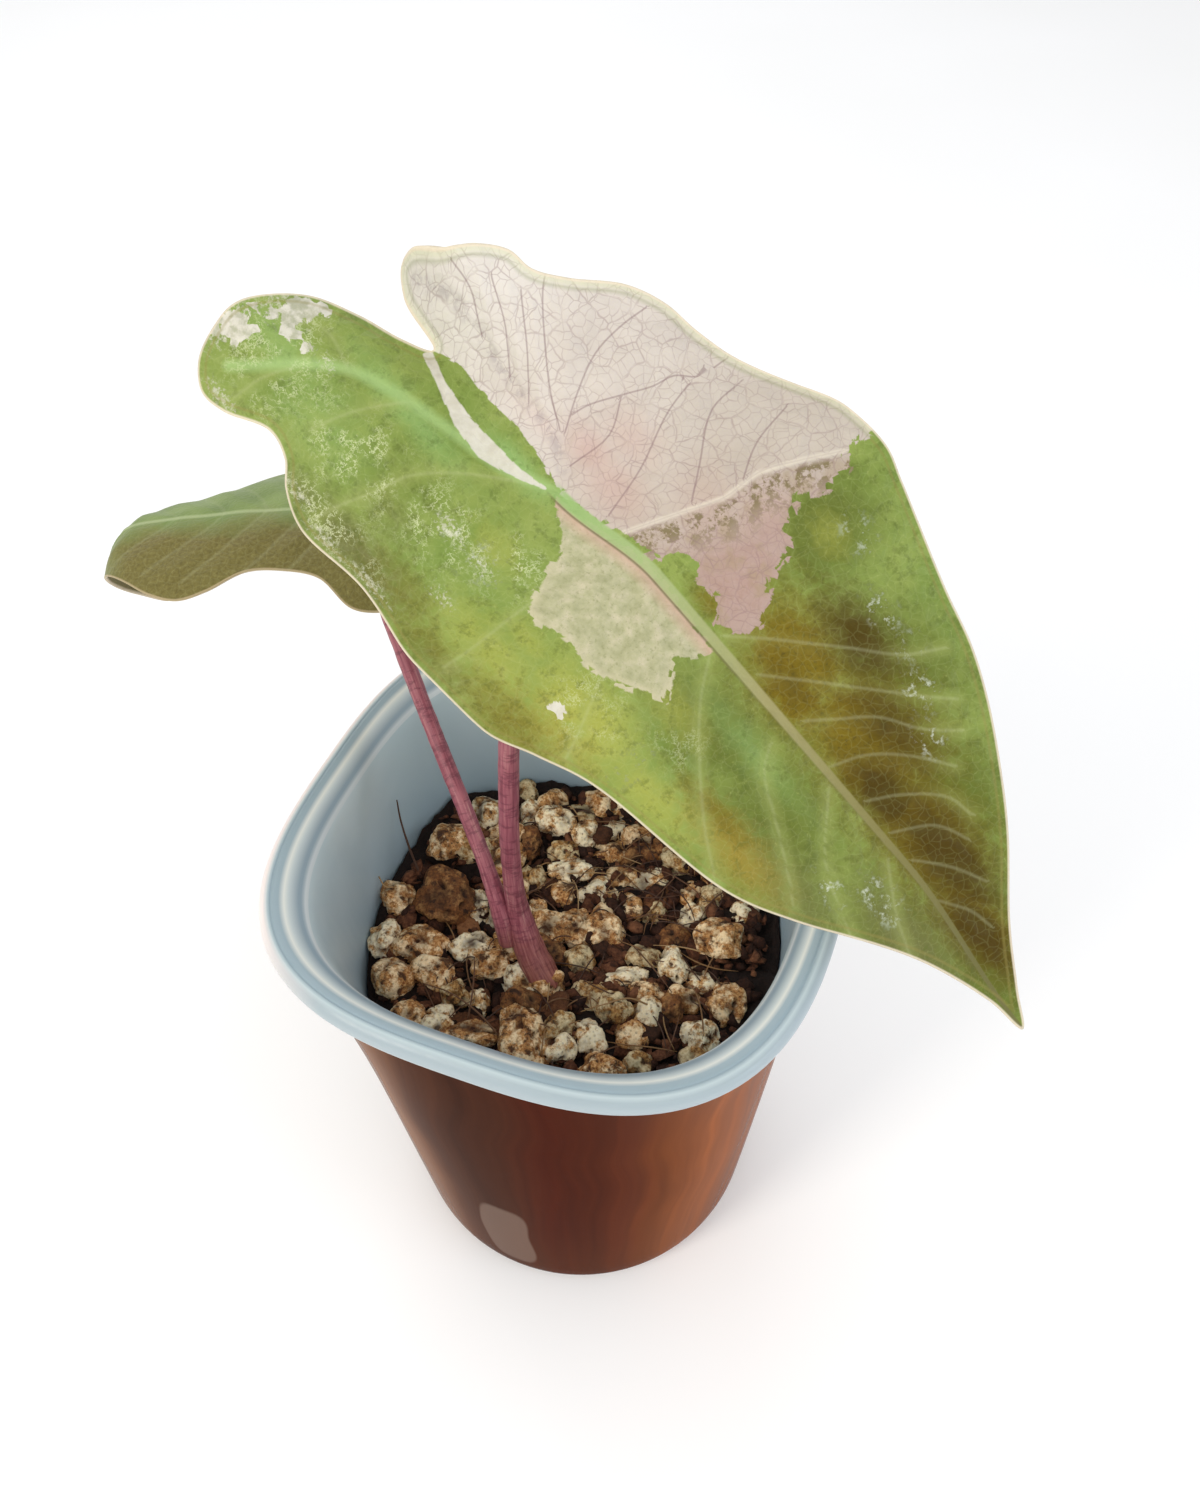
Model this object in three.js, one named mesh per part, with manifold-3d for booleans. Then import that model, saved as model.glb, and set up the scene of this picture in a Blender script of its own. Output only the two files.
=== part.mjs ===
// A young alocasia with variegated leaves, potted in gritty mix in a soft inner pot that
// hangs by its lip in a glossy outer pot.
// Millimetres, +Z up. The origin is the middle of the outer pot's base, and the sides of
// the pot's rounded-square mouth face +X, -X, +Y and -Y.
import * as THREE from 'three';
import { mergeVertices } from 'three/addons/utils/BufferGeometryUtils.js';
import Module from 'manifold-3d';

const wasm = await Module();
wasm.setup();

// Driving dimensions of the pots
const POT_HEIGHT = 88.2; // base to the crest of the lip
const MOUTH_HALF_WIDTH = 38; // middle to the lip's outer edge, at the flat of a side
const BASE_RADIUS = 29.6;
const UPPER_HALF_WIDTH = 35.6; // the outer pot's wall just under the lip
const BASE_ROUNDING = 4;
const OUTER_WALL = 1.6;
const OUTER_FLOOR = 2.4;
const LIP_DEPTH = 2.4; // crest to the lip's lower edge
const INNER_WALL = 1;
const INNER_POT_BOTTOM = 5;
const WALL_SPACE = 0.5; // air between the two pots' walls
const DRAIN_HOLE_RADIUS = 3;
const DRAIN_HOLE_COUNT = 4;
const DRAIN_CIRCLE_RADIUS = 13;
const SEAT_GAP = 0.3; // pieces that touch are modelled this far apart

// The potting mix and what lies in it
const MIX_LEVEL = 61;
const FILLER_SPACING = 5.2; // between the lumps of grit that are placed by rule
const FILLER_RADIUS_MIN = 2.4;
const FILLER_RADIUS_MAX = 3.2;
const FILLER_ROWS = 7;
const LUMP_SWELL = 1.2; // a few flat faces need this much more reach to fill a round lump
const CHIP_COUNT = 10;

// The plant
const BLADE_THICKNESS = 0.8;
const RIB_DEPTH = 1.1; // how far the midrib stands out below the blade
const MAIN_STEM_RADIUS = 1.35;
const SHEATH_RADIUS = 2.5;
const SECOND_STEM_RADIUS = 1.15;
const STEM_SIDES = 12;
const AROUND = 44; // facets round the pots

const finish = (color, roughness, metalness = 0) =>
  new THREE.MeshStandardMaterial({ color, roughness, metalness });

const plant = new THREE.Group();

const smoothStep = (from, to, value) => {
  const share = THREE.MathUtils.clamp((value - from) / (to - from), 0, 1);
  return share * share * (3 - 2 * share);
};

// Seeded draws between 0 and 1, the same on every run.
function seededDraws(seed) {
  let state = seed >>> 0;
  return () => {
    state = (Math.imul(state, 1664525) + 1013904223) >>> 0;
    return state / 4294967296;
  };
}

// A closed solid for cutting and joining, from a geometry whose shared corners are merged.
function solidFrom(geometry) {
  const bare = geometry.index ? geometry.toNonIndexed() : geometry.clone();
  bare.deleteAttribute('normal');
  bare.deleteAttribute('uv');
  const merged = mergeVertices(bare, 1e-3);
  const corners = merged.index.array;
  const kept = [];
  for (let i = 0; i < corners.length; i += 3) {
    const [a, b, c] = [corners[i], corners[i + 1], corners[i + 2]];
    if (a !== b && b !== c && c !== a) {
      kept.push(a, b, c);
    }
  }
  const solid = new wasm.Manifold(new wasm.Mesh({
    numProp: 3,
    vertProperties: new Float32Array(merged.attributes.position.array),
    triVerts: new Uint32Array(kept),
  }));
  return solid;
}

function geometryFrom(solid) {
  const mesh = solid.getMesh();
  const geometry = new THREE.BufferGeometry();
  const places = [];
  for (let i = 0; i < mesh.vertProperties.length; i += mesh.numProp) {
    places.push(mesh.vertProperties[i], mesh.vertProperties[i + 1], mesh.vertProperties[i + 2]);
  }
  geometry.setAttribute('position', new THREE.Float32BufferAttribute(places, 3));
  geometry.setIndex(Array.from(mesh.triVerts));
  geometry.computeVertexNormals();
  return geometry;
}

function addPiece(name, solid, material) {
  const mesh = new THREE.Mesh(geometryFrom(solid), material);
  mesh.name = name;
  plant.add(mesh);
}

// The pots are round at the base and rounded squares at the mouth.
// cornerReach is how much further a corner reaches than the flat of a side.
const cornerExponent = (height) => {
  const share = THREE.MathUtils.clamp(height / POT_HEIGHT, 0, 1);
  return 2 + 0.25 * share + 0.75 * share ** 6;
};

function cornerReach(angle, exponent) {
  const along = Math.abs(Math.cos(angle)) ** exponent;
  const across = Math.abs(Math.sin(angle)) ** exponent;
  return (along + across) ** (-1 / exponent);
}

// A turned shell from [half width, height] pairs, squared off towards the mouth.
function squaredLathe(profile, around = AROUND) {
  const points = profile.map(([halfWidth, height]) => new THREE.Vector2(halfWidth, height));
  const geometry = new THREE.LatheGeometry(points, around);
  geometry.rotateX(Math.PI / 2);
  const place = geometry.attributes.position;
  for (let i = 0; i < place.count; i += 1) {
    const [x, y, z] = [place.getX(i), place.getY(i), place.getZ(i)];
    const reach = cornerReach(Math.atan2(y, x), cornerExponent(z));
    place.setXYZ(i, x * reach, y * reach, z);
  }
  return geometry;
}

// Half width of the outer pot's outside, at a height above its rounded bottom edge.
const outsideHalfWidth = (height) => {
  const share = Math.max(height, 0) / (POT_HEIGHT - LIP_DEPTH);
  return BASE_RADIUS + (UPPER_HALF_WIDTH - BASE_RADIUS) * share ** 0.91;
};

// Profile points round a bottom edge, from the flat of the base up to the wall.
function bottomEdge(wallHalfWidth, floor, rounding, steps = 3) {
  const points = [];
  for (let i = 0; i <= steps; i += 1) {
    const turn = (i / steps) * (Math.PI / 2);
    const height = floor + rounding * (1 - Math.cos(turn));
    points.push([wallHalfWidth(height) - rounding * (1 - Math.sin(turn)), height]);
  }
  return points;
}

const outerRimHeight = POT_HEIGHT - LIP_DEPTH - 0.9;
const insideHalfWidth = (height) => outsideHalfWidth(height) - OUTER_WALL;
const innerPotHalfWidth = (height) => insideHalfWidth(height) - WALL_SPACE;
const innerWallHalfWidth = (height) => innerPotHalfWidth(height) - INNER_WALL;

// Outer pot: one moulded shell with a flat base and a plain rim.
const outerPotProfile = [
  [0, 0],
  ...bottomEdge(outsideHalfWidth, 0, BASE_ROUNDING),
  [outsideHalfWidth(45), 45],
  [outsideHalfWidth(72), 72],
  [outsideHalfWidth(outerRimHeight), outerRimHeight],
  [insideHalfWidth(outerRimHeight), outerRimHeight],
  [insideHalfWidth(72), 72],
  [insideHalfWidth(45), 45],
  ...bottomEdge(insideHalfWidth, OUTER_FLOOR, BASE_ROUNDING - 1).reverse(),
  [0, OUTER_FLOOR],
];
addPiece('outer_pot', solidFrom(squaredLathe(outerPotProfile)), finish(0x7a4022, 0.22));

// Inner pot: a thin liner whose rolled lip hangs over the outer pot's rim.
const lipSeat = outerRimHeight + SEAT_GAP;
const innerFloor = INNER_POT_BOTTOM + INNER_WALL;
const neckHeight = POT_HEIGHT - 5;
const innerPotProfile = [
  [0, INNER_POT_BOTTOM],
  ...bottomEdge(innerPotHalfWidth, INNER_POT_BOTTOM, 3),
  [innerPotHalfWidth(45), 45],
  [innerPotHalfWidth(72), 72],
  [innerPotHalfWidth(lipSeat - 0.6), lipSeat - 0.6],
  [innerPotHalfWidth(lipSeat) + 0.3, lipSeat],
  [MOUTH_HALF_WIDTH - 1.2, lipSeat],
  [MOUTH_HALF_WIDTH, POT_HEIGHT - LIP_DEPTH],
  [MOUTH_HALF_WIDTH, POT_HEIGHT - 1.3],
  [MOUTH_HALF_WIDTH - 0.6, POT_HEIGHT - 0.35],
  [MOUTH_HALF_WIDTH - 1.5, POT_HEIGHT],
  [MOUTH_HALF_WIDTH - 2.8, POT_HEIGHT - 0.3],
  [MOUTH_HALF_WIDTH - 4, POT_HEIGHT - 1.2],
  [innerWallHalfWidth(neckHeight) + 0.5, POT_HEIGHT - 3],
  [innerWallHalfWidth(neckHeight), neckHeight],
  [innerWallHalfWidth(62), 62],
  [innerWallHalfWidth(35), 35],
  ...bottomEdge(innerWallHalfWidth, innerFloor, 2).reverse(),
  [0, innerFloor],
];
let innerPot = solidFrom(squaredLathe(innerPotProfile));
for (let i = 0; i < DRAIN_HOLE_COUNT; i += 1) {
  const angle = ((i + 0.5) / DRAIN_HOLE_COUNT) * 2 * Math.PI;
  const hole = new THREE.CylinderGeometry(DRAIN_HOLE_RADIUS, DRAIN_HOLE_RADIUS, 4, 12);
  hole.rotateX(Math.PI / 2);
  hole.translate(
    DRAIN_CIRCLE_RADIUS * Math.cos(angle),
    DRAIN_CIRCLE_RADIUS * Math.sin(angle),
    INNER_POT_BOTTOM + INNER_WALL / 2,
  );
  innerPot = innerPot.subtract(solidFrom(hole));
}
addPiece('inner_pot', innerPot, finish(0x9fb1bf, 0.35));

// A stem: a tapered tube along a curve through hand-placed points.
function stemSolid(route, radiusAt, steps, growth = 0) {
  const curve = new THREE.CatmullRomCurve3(route.map((p) => new THREE.Vector3(...p)));
  const frames = curve.computeFrenetFrames(steps, false);
  const places = [];
  const corners = [];
  for (let i = 0; i <= steps; i += 1) {
    const centre = curve.getPointAt(i / steps);
    const radius = radiusAt(centre.z) + growth;
    for (let k = 0; k < STEM_SIDES; k += 1) {
      const turn = (k / STEM_SIDES) * 2 * Math.PI;
      const corner = centre.clone();
      corner.addScaledVector(frames.normals[i], radius * Math.cos(turn));
      corner.addScaledVector(frames.binormals[i], radius * Math.sin(turn));
      places.push(corner.x, corner.y, corner.z);
    }
  }
  const ends = [curve.getPointAt(0), curve.getPointAt(1)];
  ends.forEach((end) => places.push(end.x, end.y, end.z));
  const firstEnd = (steps + 1) * STEM_SIDES;
  for (let k = 0; k < STEM_SIDES; k += 1) {
    const next = (k + 1) % STEM_SIDES;
    for (let i = 0; i < steps; i += 1) {
      const low = i * STEM_SIDES;
      const high = low + STEM_SIDES;
      corners.push(low + k, low + next, high + next, low + k, high + next, high + k);
    }
    const top = steps * STEM_SIDES;
    corners.push(firstEnd, next, k, firstEnd + 1, top + k, top + next);
  }
  const geometry = new THREE.BufferGeometry();
  geometry.setAttribute('position', new THREE.Float32BufferAttribute(places, 3));
  geometry.setIndex(corners);
  return solidFrom(geometry);
}

// A leaf blade: its outline is joined to the point where the stem meets it by rings, and
// place() lifts each point of the flat leaf onto the curved one. Both faces are split alike.
function bladeSolid(outline, samples, ringShares, place, thicknessAt, lift = 0) {
  const flat = outline.map(([along, across]) => new THREE.Vector3(along, across, 0));
  const edge = new THREE.CatmullRomCurve3(flat, true, 'centripetal');
  const count = outline.length * samples;
  const step = 0.05;
  const upper = [];
  const lower = [];
  const addPoint = (along, across) => {
    const middle = place(along, across);
    const ahead = place(along + step, across).sub(middle);
    const aside = place(along, across + step).sub(middle);
    const normal = ahead.cross(aside).normalize();
    upper.push(middle.clone().addScaledVector(normal, lift));
    lower.push(middle.clone().addScaledVector(normal, -thicknessAt(along, across)));
  };
  addPoint(0, 0);
  ringShares.forEach((share) => {
    for (let i = 0; i < count; i += 1) {
      const point = edge.getPoint(i / count);
      addPoint(point.x * share, point.y * share);
    }
  });
  const corners = [];
  const below = upper.length;
  const addFacet = (a, b, c) => {
    corners.push(a, b, c, below + a, below + c, below + b);
  };
  const rings = ringShares.length;
  for (let i = 0; i < count; i += 1) {
    const next = (i + 1) % count;
    addFacet(0, 1 + i, 1 + next);
    for (let r = 1; r < rings; r += 1) {
      const inner = 1 + (r - 1) * count;
      const outer = inner + count;
      addFacet(inner + i, outer + i, outer + next);
      addFacet(inner + i, outer + next, inner + next);
    }
    const rim = 1 + (rings - 1) * count;
    corners.push(rim + i, below + rim + i, below + rim + next);
    corners.push(rim + i, below + rim + next, rim + next);
  }
  const places = [...upper, ...lower].flatMap((p) => [p.x, p.y, p.z]);
  const geometry = new THREE.BufferGeometry();
  geometry.setAttribute('position', new THREE.Float32BufferAttribute(places, 3));
  geometry.setIndex(corners);
  return solidFrom(geometry);
}

// Main leaf. The leaf's own axes start where its stem meets it: along runs down to the
// tip, across runs to the pale half, and face stands out of the upper side.
const mainMeetsStem = new THREE.Vector3(-2.3, 6.2, 138);
const mainAlong = new THREE.Vector3(0.785, -0.238, -0.572).normalize();
const mainAcross = new THREE.Vector3(0.567, 0.647, 0.509);
mainAcross.addScaledVector(mainAlong, -mainAcross.dot(mainAlong)).normalize();
const mainFace = new THREE.Vector3().crossVectors(mainAlong, mainAcross);
const MAIN_LENGTH = 84; // stem joint to tip

// The midrib bows a little towards the pale half.
const midribBow = (along) =>
  2.3 * (smoothStep(0, 14, along) - smoothStep(58, MAIN_LENGTH, along));

function mainLeafHeight(along, side) {
  const ahead = Math.max(along, 0);
  const behind = Math.min(along, 0);
  let height = -6 * (ahead / 80) ** 2 - 0.0045 * behind ** 2;
  height += 0.24 * (Math.sqrt(side * side + 4) - 2) - 0.0088 * side * side;
  height += 0.012 * behind ** 2 * smoothStep(0, 9, side);
  height += 0.0035 * behind ** 2 * smoothStep(0, -12, side);
  height -= 2 * smoothStep(2, -22, along) * Math.exp(-((side / 4) ** 2));
  return height;
}

// side is measured from the midrib, so a ray to the tip follows the rib.
function placeOnMainLeaf(along, side) {
  const point = mainMeetsStem.clone();
  point.addScaledVector(mainAlong, along);
  point.addScaledVector(mainAcross, side + midribBow(along));
  return point.addScaledVector(mainFace, mainLeafHeight(along, side));
}

// From the tip round the pale half and its lobe, the cleft, and back along the green half.
const mainOutline = [
  [84, 0], [79, 2.5], [71, 6.2], [62, 11.6], [49.5, 18.5], [43, 21.2], [36, 23], [24, 26.8],
  [20, 28], [14, 27.4], [8, 25.3], [-2.5, 22.5], [-7, 21.7], [-11, 19.7], [-15.3, 15.4],
  [-18.3, 13.1], [-21, 12.5], [-23.6, 10.2], [-25.6, 7.2], [-28.8, 4.7], [-29.4, 2.8],
  [-27.5, 1], [-21.2, 0], [-24.4, -1.7], [-29.4, -3.5], [-34.4, -6.4], [-38.1, -12.7],
  [-37.9, -16.2], [-36.5, -20], [-33.8, -22.1], [-30.7, -21.7], [-25.6, -19.2], [-22.4, -20],
  [-20, -22.2], [-15.7, -24], [-6.3, -23.2], [4.2, -25], [13.9, -26.2], [20.3, -23.5],
  [26.8, -20.9], [46.3, -17.7], [54.3, -14], [69.2, -4.8], [78.5, -1],
].map(([along, across]) => [along, across - midribBow(along)]);

const ribShare = (along, side, width) => Math.exp(-((side / width) ** 2)) * smoothStep(84, 60, along);
function mainThickness(along, side) {
  const rib = along > 0 ? ribShare(along, side, 1.2) : 0;
  const whiteCosta = ribShare(0, side + 0.24 * along, 1) * smoothStep(0, -4, along);
  const greenCosta = ribShare(0, side - 0.31 * along, 1) * smoothStep(0, -4, along);
  return BLADE_THICKNESS + RIB_DEPTH * Math.max(rib, 0.6 * whiteCosta, 0.6 * greenCosta);
}

const mainRings = [0.08, 0.24, 0.44, 0.64, 0.83, 1];
const mainBlade = bladeSolid(mainOutline, 2, mainRings, placeOnMainLeaf, mainThickness);
addPiece('main_leaf_blade', mainBlade, finish(0x86a04c, 0.38));

// Second leaf: lower and behind, arched along its midrib with the tip curled under. Its
// midrib is one plane curve whose slope grows along its length.
const secondMeetsStem = new THREE.Vector3(-38.1, 19.8, 118);
const secondAlong = new THREE.Vector3(-0.95, -0.31, 0).normalize();
const secondAcross = new THREE.Vector3(0.31, -0.95, 0).normalize();
const upward = new THREE.Vector3(0, 0, 1);
const SECOND_LENGTH = 50;

const secondDip = (along) => THREE.MathUtils.degToRad(
  1 + 0.3 * Math.max(along, 0) + 138 * smoothStep(27, 51, along),
);

// How far out and how far down the midrib has gone at a length along it.
function secondMidrib(along) {
  const pieces = 60;
  let [out, down] = [0, 0];
  for (let i = 0; i < pieces; i += 1) {
    const dip = secondDip((along * (i + 0.5)) / pieces);
    out += (Math.cos(dip) * along) / pieces;
    down += (Math.sin(dip) * along) / pieces;
  }
  return [out, down];
}

function placeOnSecondLeaf(along, side) {
  const [out, down] = secondMidrib(along);
  const dip = secondDip(along);
  const near = Math.max(side, 0);
  const far = Math.max(-side, 0);
  const steeper = 1 + 1.2 * smoothStep(12, 30, along);
  const droop = 0.012 * near ** 2 + (0.1 * far + 0.0105 * far ** 2) * steeper;
  const point = secondMeetsStem.clone();
  point.addScaledVector(secondAlong, out - droop * Math.sin(dip));
  point.addScaledVector(upward, -down - droop * Math.cos(dip));
  return point.addScaledVector(secondAcross, side);
}

const secondOutline = [
  [50, 0], [46, 1.5], [38, 6.2], [30, 11.2], [26, 13.6], [22, 14.8], [18, 13.8], [13, 11.2],
  [8, 11.2], [3, 12.4], [-2, 16.8], [-6, 17.3], [-10, 16.5], [-15, 14], [-19, 10.5],
  [-20, 7], [-17, 3.5], [-8, 0], [-17, -4], [-21, -8], [-20, -12], [-15, -15], [-4, -17],
  [4, -16], [14, -14], [22, -11.6], [30, -9.2], [38, -5.4], [46, -1.5],
];
const secondThickness = (along, side) =>
  BLADE_THICKNESS + 0.8 * RIB_DEPTH * Math.exp(-(side ** 2)) * smoothStep(48, 36, along);
const secondRings = [0.1, 0.3, 0.48, 0.6, 0.7, 0.8, 0.9, 1];
const secondBlade = bladeSolid(
  secondOutline, 2, secondRings, placeOnSecondLeaf, secondThickness,
);
addPiece('second_leaf_blade', secondBlade, finish(0x6f7d42, 0.42));

// The stems stand in the mix, and each widens a little where it meets its blade.
const mainStemRoute = [
  [1.5, -10.2, 49], [-1, -9, 61], [-4.2, -6.9, 65.5], [-6.2, -5.3, 71], [-6.7, -5.2, 79],
  [-6.5, -4.8, 94], [-5.6, -1.4, 116], [-2.3, 6.2, 138.4],
];
const mainStemRadius = (height) => {
  const sheath = SHEATH_RADIUS - 0.9 * smoothStep(61, 76, height);
  const thin = THREE.MathUtils.lerp(sheath, MAIN_STEM_RADIUS, smoothStep(70, 84, height));
  return thin + 0.5 * smoothStep(128, 138, height);
};
const secondStemRoute = [
  [-7.6, -7, 66.5], [-8.6, -6.3, 72], [-11, -4.1, 77.5], [-15.9, 0.2, 84.6],
  [-22.6, 6.2, 91.8], [-29.6, 12.3, 101], [-35, 17, 110], [-38.1, 19.8, 118.2],
];
const secondStemRadius = (height) =>
  SECOND_STEM_RADIUS + 0.35 * smoothStep(80, 70, height) + 0.4 * smoothStep(110, 118, height);

const clearOf = (place, outline, rings, thickness) =>
  bladeSolid(outline, 1, rings, place, (along, side) => thickness(along, side) + SEAT_GAP, 4);
const largest = (solid) =>
  solid.decompose().reduce((best, part) => (part.volume() > best.volume() ? part : best));

const secondStemShape = stemSolid(secondStemRoute, secondStemRadius, 22);
const secondStemRoom = stemSolid(secondStemRoute, secondStemRadius, 22, SEAT_GAP);
const secondBladeRoom = clearOf(placeOnSecondLeaf, secondOutline, [0.15, 0.4], secondThickness);
const secondStem = largest(secondStemShape.subtract(secondBladeRoom));

const mainStemShape = stemSolid(mainStemRoute, mainStemRadius, 26);
const mainStemRoom = stemSolid(mainStemRoute, mainStemRadius, 26, SEAT_GAP);
const mainBladeRoom = clearOf(placeOnMainLeaf, mainOutline, [0.12, 0.35], mainThickness);
const mainStem = largest(mainStemShape.subtract(mainBladeRoom).subtract(secondStemRoom));
addPiece('main_stem', mainStem, finish(0x86485a, 0.45));
addPiece('second_stem', secondStem, finish(0x8f4a5e, 0.45));

// The mix is level but for low hills, and banked up a little at the back left.
function mixHeight(x, y) {
  const hills = 0.7 * Math.sin(0.31 * x + 1.2) * Math.sin(0.27 * y - 0.6);
  const bank = 4 * Math.exp(-(((x + 28) / 11) ** 2 + ((y - 12) / 12) ** 2));
  return MIX_LEVEL + hills + bank;
}

const MIX_AROUND = 32;
const mixSideHalfWidth = (height) => innerWallHalfWidth(height) - SEAT_GAP;
function mixBody(lift) {
  const geometry = squaredLathe([
    [0, innerFloor + SEAT_GAP],
    ...bottomEdge(mixSideHalfWidth, innerFloor + SEAT_GAP, 2.2, 2),
    [mixSideHalfWidth(35), 35],
    [mixSideHalfWidth(MIX_LEVEL), MIX_LEVEL],
    ...[0.7, 0.35].map((share) => [mixSideHalfWidth(MIX_LEVEL) * share, MIX_LEVEL]),
    [0, MIX_LEVEL],
  ], MIX_AROUND);
  const place = geometry.attributes.position;
  for (let i = 0; i < place.count; i += 1) {
    if (place.getZ(i) > MIX_LEVEL - 1) {
      place.setZ(i, mixHeight(place.getX(i), place.getY(i)) + lift);
    }
  }
  return solidFrom(geometry);
}

// Pumice grit: rough lumps where the plant shows them, each with its place and its half
// sizes across and along, then smaller ones on a jittered grid wherever there is room.
const placedLumps = [
  [-24.5, 7.5, 3, 3], [-21, -1, 4.5, 4], [-28, -3.5, 2.5, 2.5], [-21.5, -9.5, 3.5, 3],
  [-27, -10.5, 2, 3], [-22.5, -16, 3, 3], [-13.5, -7, 3, 2.5], [-13, -15.5, 2, 2],
  [-9, -15, 1.5, 2], [-8, -21, 4.5, 2.5], [-17.5, -21.5, 2.5, 2.5], [-13.5, -19, 2, 1.5],
  [-1, -18.5, 3, 4.5], [3.5, -15.5, 2, 2], [8, -15.5, 2.5, 3], [-16, 0.5, 1.5, 3],
  [-21, 15.5, 3, 3], [-18, 24, 2, 2], [-15.5, 19, 2, 2.5], [-10, 8, 2, 2.5],
  [-7.5, 3, 1.5, 1.5], [-10.5, 19, 3, 2.5], [-4.5, 11.5, 3.5, 2], [-4.5, 7, 2, 2],
  [-5.5, 19, 2, 2.5], [-0.5, 1.5, 2.5, 3], [4, 3, 2.5, 3.5], [21, 6.5, 3.5, 3],
  [15.5, 0, 2, 3], [25, -3.5, 2.5, 3.5], [23, -10, 2.5, 2.5], [9.5, -4.5, 3, 1.5],
  [13.5, -5.5, 2.5, 1.5], [17.5, -7, 2, 2], [14, -13, 2.5, 2.5], [10, -9.5, 2.5, 2.5],
  [11.5, -20, 3, 2.5], [16, -17, 2, 2],
];

const insideMouth = (x, y, margin, height) => {
  const exponent = cornerExponent(height);
  const limit = innerWallHalfWidth(height) - margin;
  return (Math.abs(x) ** exponent + Math.abs(y) ** exponent) ** (1 / exponent) < limit;
};

const VIEW_TURN = 0.365; // radians; the lumps' own across direction is turned this far from +X
function roughLump(x, y, across, along, draw) {
  const geometry = new THREE.IcosahedronGeometry(LUMP_SWELL, 0);
  geometry.rotateX(6.28 * draw());
  geometry.rotateY(6.28 * draw());
  const flatness = 0.75 + 0.3 * draw();
  const thick = Math.min(across, along) * flatness;
  geometry.scale(across, along, thick);
  geometry.rotateZ(VIEW_TURN);
  geometry.translate(x, y, mixHeight(x, y) + 0.3 * thick);
  return solidFrom(geometry);
}

function gritSolid() {
  const draw = seededDraws(20);
  const lumps = placedLumps.map((lump) => roughLump(...lump, draw));
  for (let row = -FILLER_ROWS; row <= FILLER_ROWS; row += 1) {
    for (let column = -FILLER_ROWS; column <= FILLER_ROWS; column += 1) {
      const x = (column + Math.abs(row % 2) / 2 + 0.4 * (draw() - 0.5)) * FILLER_SPACING;
      const y = (row + 0.4 * (draw() - 0.5)) * FILLER_SPACING * 0.87;
      const radius = FILLER_RADIUS_MIN + (FILLER_RADIUS_MAX - FILLER_RADIUS_MIN) * draw();
      const apart = placedLumps.map(([px, py, across, along]) =>
        Math.hypot(x - px, y - py) - 0.62 * (radius + Math.max(across, along)));
      const fits = insideMouth(x, y, radius + 0.9, MIX_LEVEL) && Math.min(...apart) > 0;
      if (fits) {
        lumps.push(roughLump(x, y, radius, 0.9 * radius, draw));
      }
    }
  }
  return wasm.Manifold.union(lumps);
}

// Bark chips: thin slabs of brown bark fused into the top of the mix.
function barkChips(growth) {
  const draw = seededDraws(7);
  const chips = [];
  for (let i = 0; i < CHIP_COUNT; i += 1) {
    const angle = 2.4 * i;
    const distance = 25 * Math.sqrt((i + 0.6) / CHIP_COUNT);
    const [x, y] = [distance * Math.cos(angle), distance * Math.sin(angle)];
    const [length, width] = [5 + 4 * draw(), 2.5 + 2 * draw()];
    const chip = new THREE.BoxGeometry(length + growth, width + growth, 1.4 + growth);
    chip.rotateY(0.7 * (draw() - 0.5));
    chip.rotateZ(6.28 * draw());
    chip.translate(x, y, mixHeight(x, y) + 0.4);
    chips.push(solidFrom(chip));
  }
  return chips;
}

const chips = wasm.Manifold.union(barkChips(0));
const chipRoom = wasm.Manifold.union(barkChips(2 * SEAT_GAP));
const stemRoom = mainStemRoom.add(secondStemRoom);
const mixRoom = mixBody(SEAT_GAP).add(chipRoom).add(stemRoom);
const clearOfWall = solidFrom(squaredLathe([
  [0, MIX_LEVEL - 10],
  [mixSideHalfWidth(MIX_LEVEL - 10), MIX_LEVEL - 10],
  [mixSideHalfWidth(MIX_LEVEL + 15), MIX_LEVEL + 15],
  [0, MIX_LEVEL + 15],
], MIX_AROUND));
const grit = gritSolid().intersect(clearOfWall).subtract(mixRoom);
const gritBody = largest(grit);
const looseGrit = grit.decompose().filter((part) => part.volume() < gritBody.volume());
const sunkGrit = looseGrit.filter((part) => part.volume() > 8)
  .map((part) => part.translate([0, 0, -2 * SEAT_GAP]))
  .filter((part) => part.intersect(gritBody).isEmpty());
const mixWithChips = wasm.Manifold.union([mixBody(0), chips, ...sunkGrit]);
const mix = largest(mixWithChips.subtract(stemRoom));
addPiece('potting_mix', mix, finish(0x33211a, 0.95));
addPiece('pumice_grit', gritBody, finish(0xcdb184, 0.85));

export default plant;
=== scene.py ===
# A young alocasia with variegated leaves, in gritty mix in a soft liner inside a glossy pot.
# Sizes in the sections are real millimetres, and MM turns them into the scene's metres.
import math
from functools import partial

import bmesh
import bpy
import numpy as np
from mathutils import Matrix, Vector, noise


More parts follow.
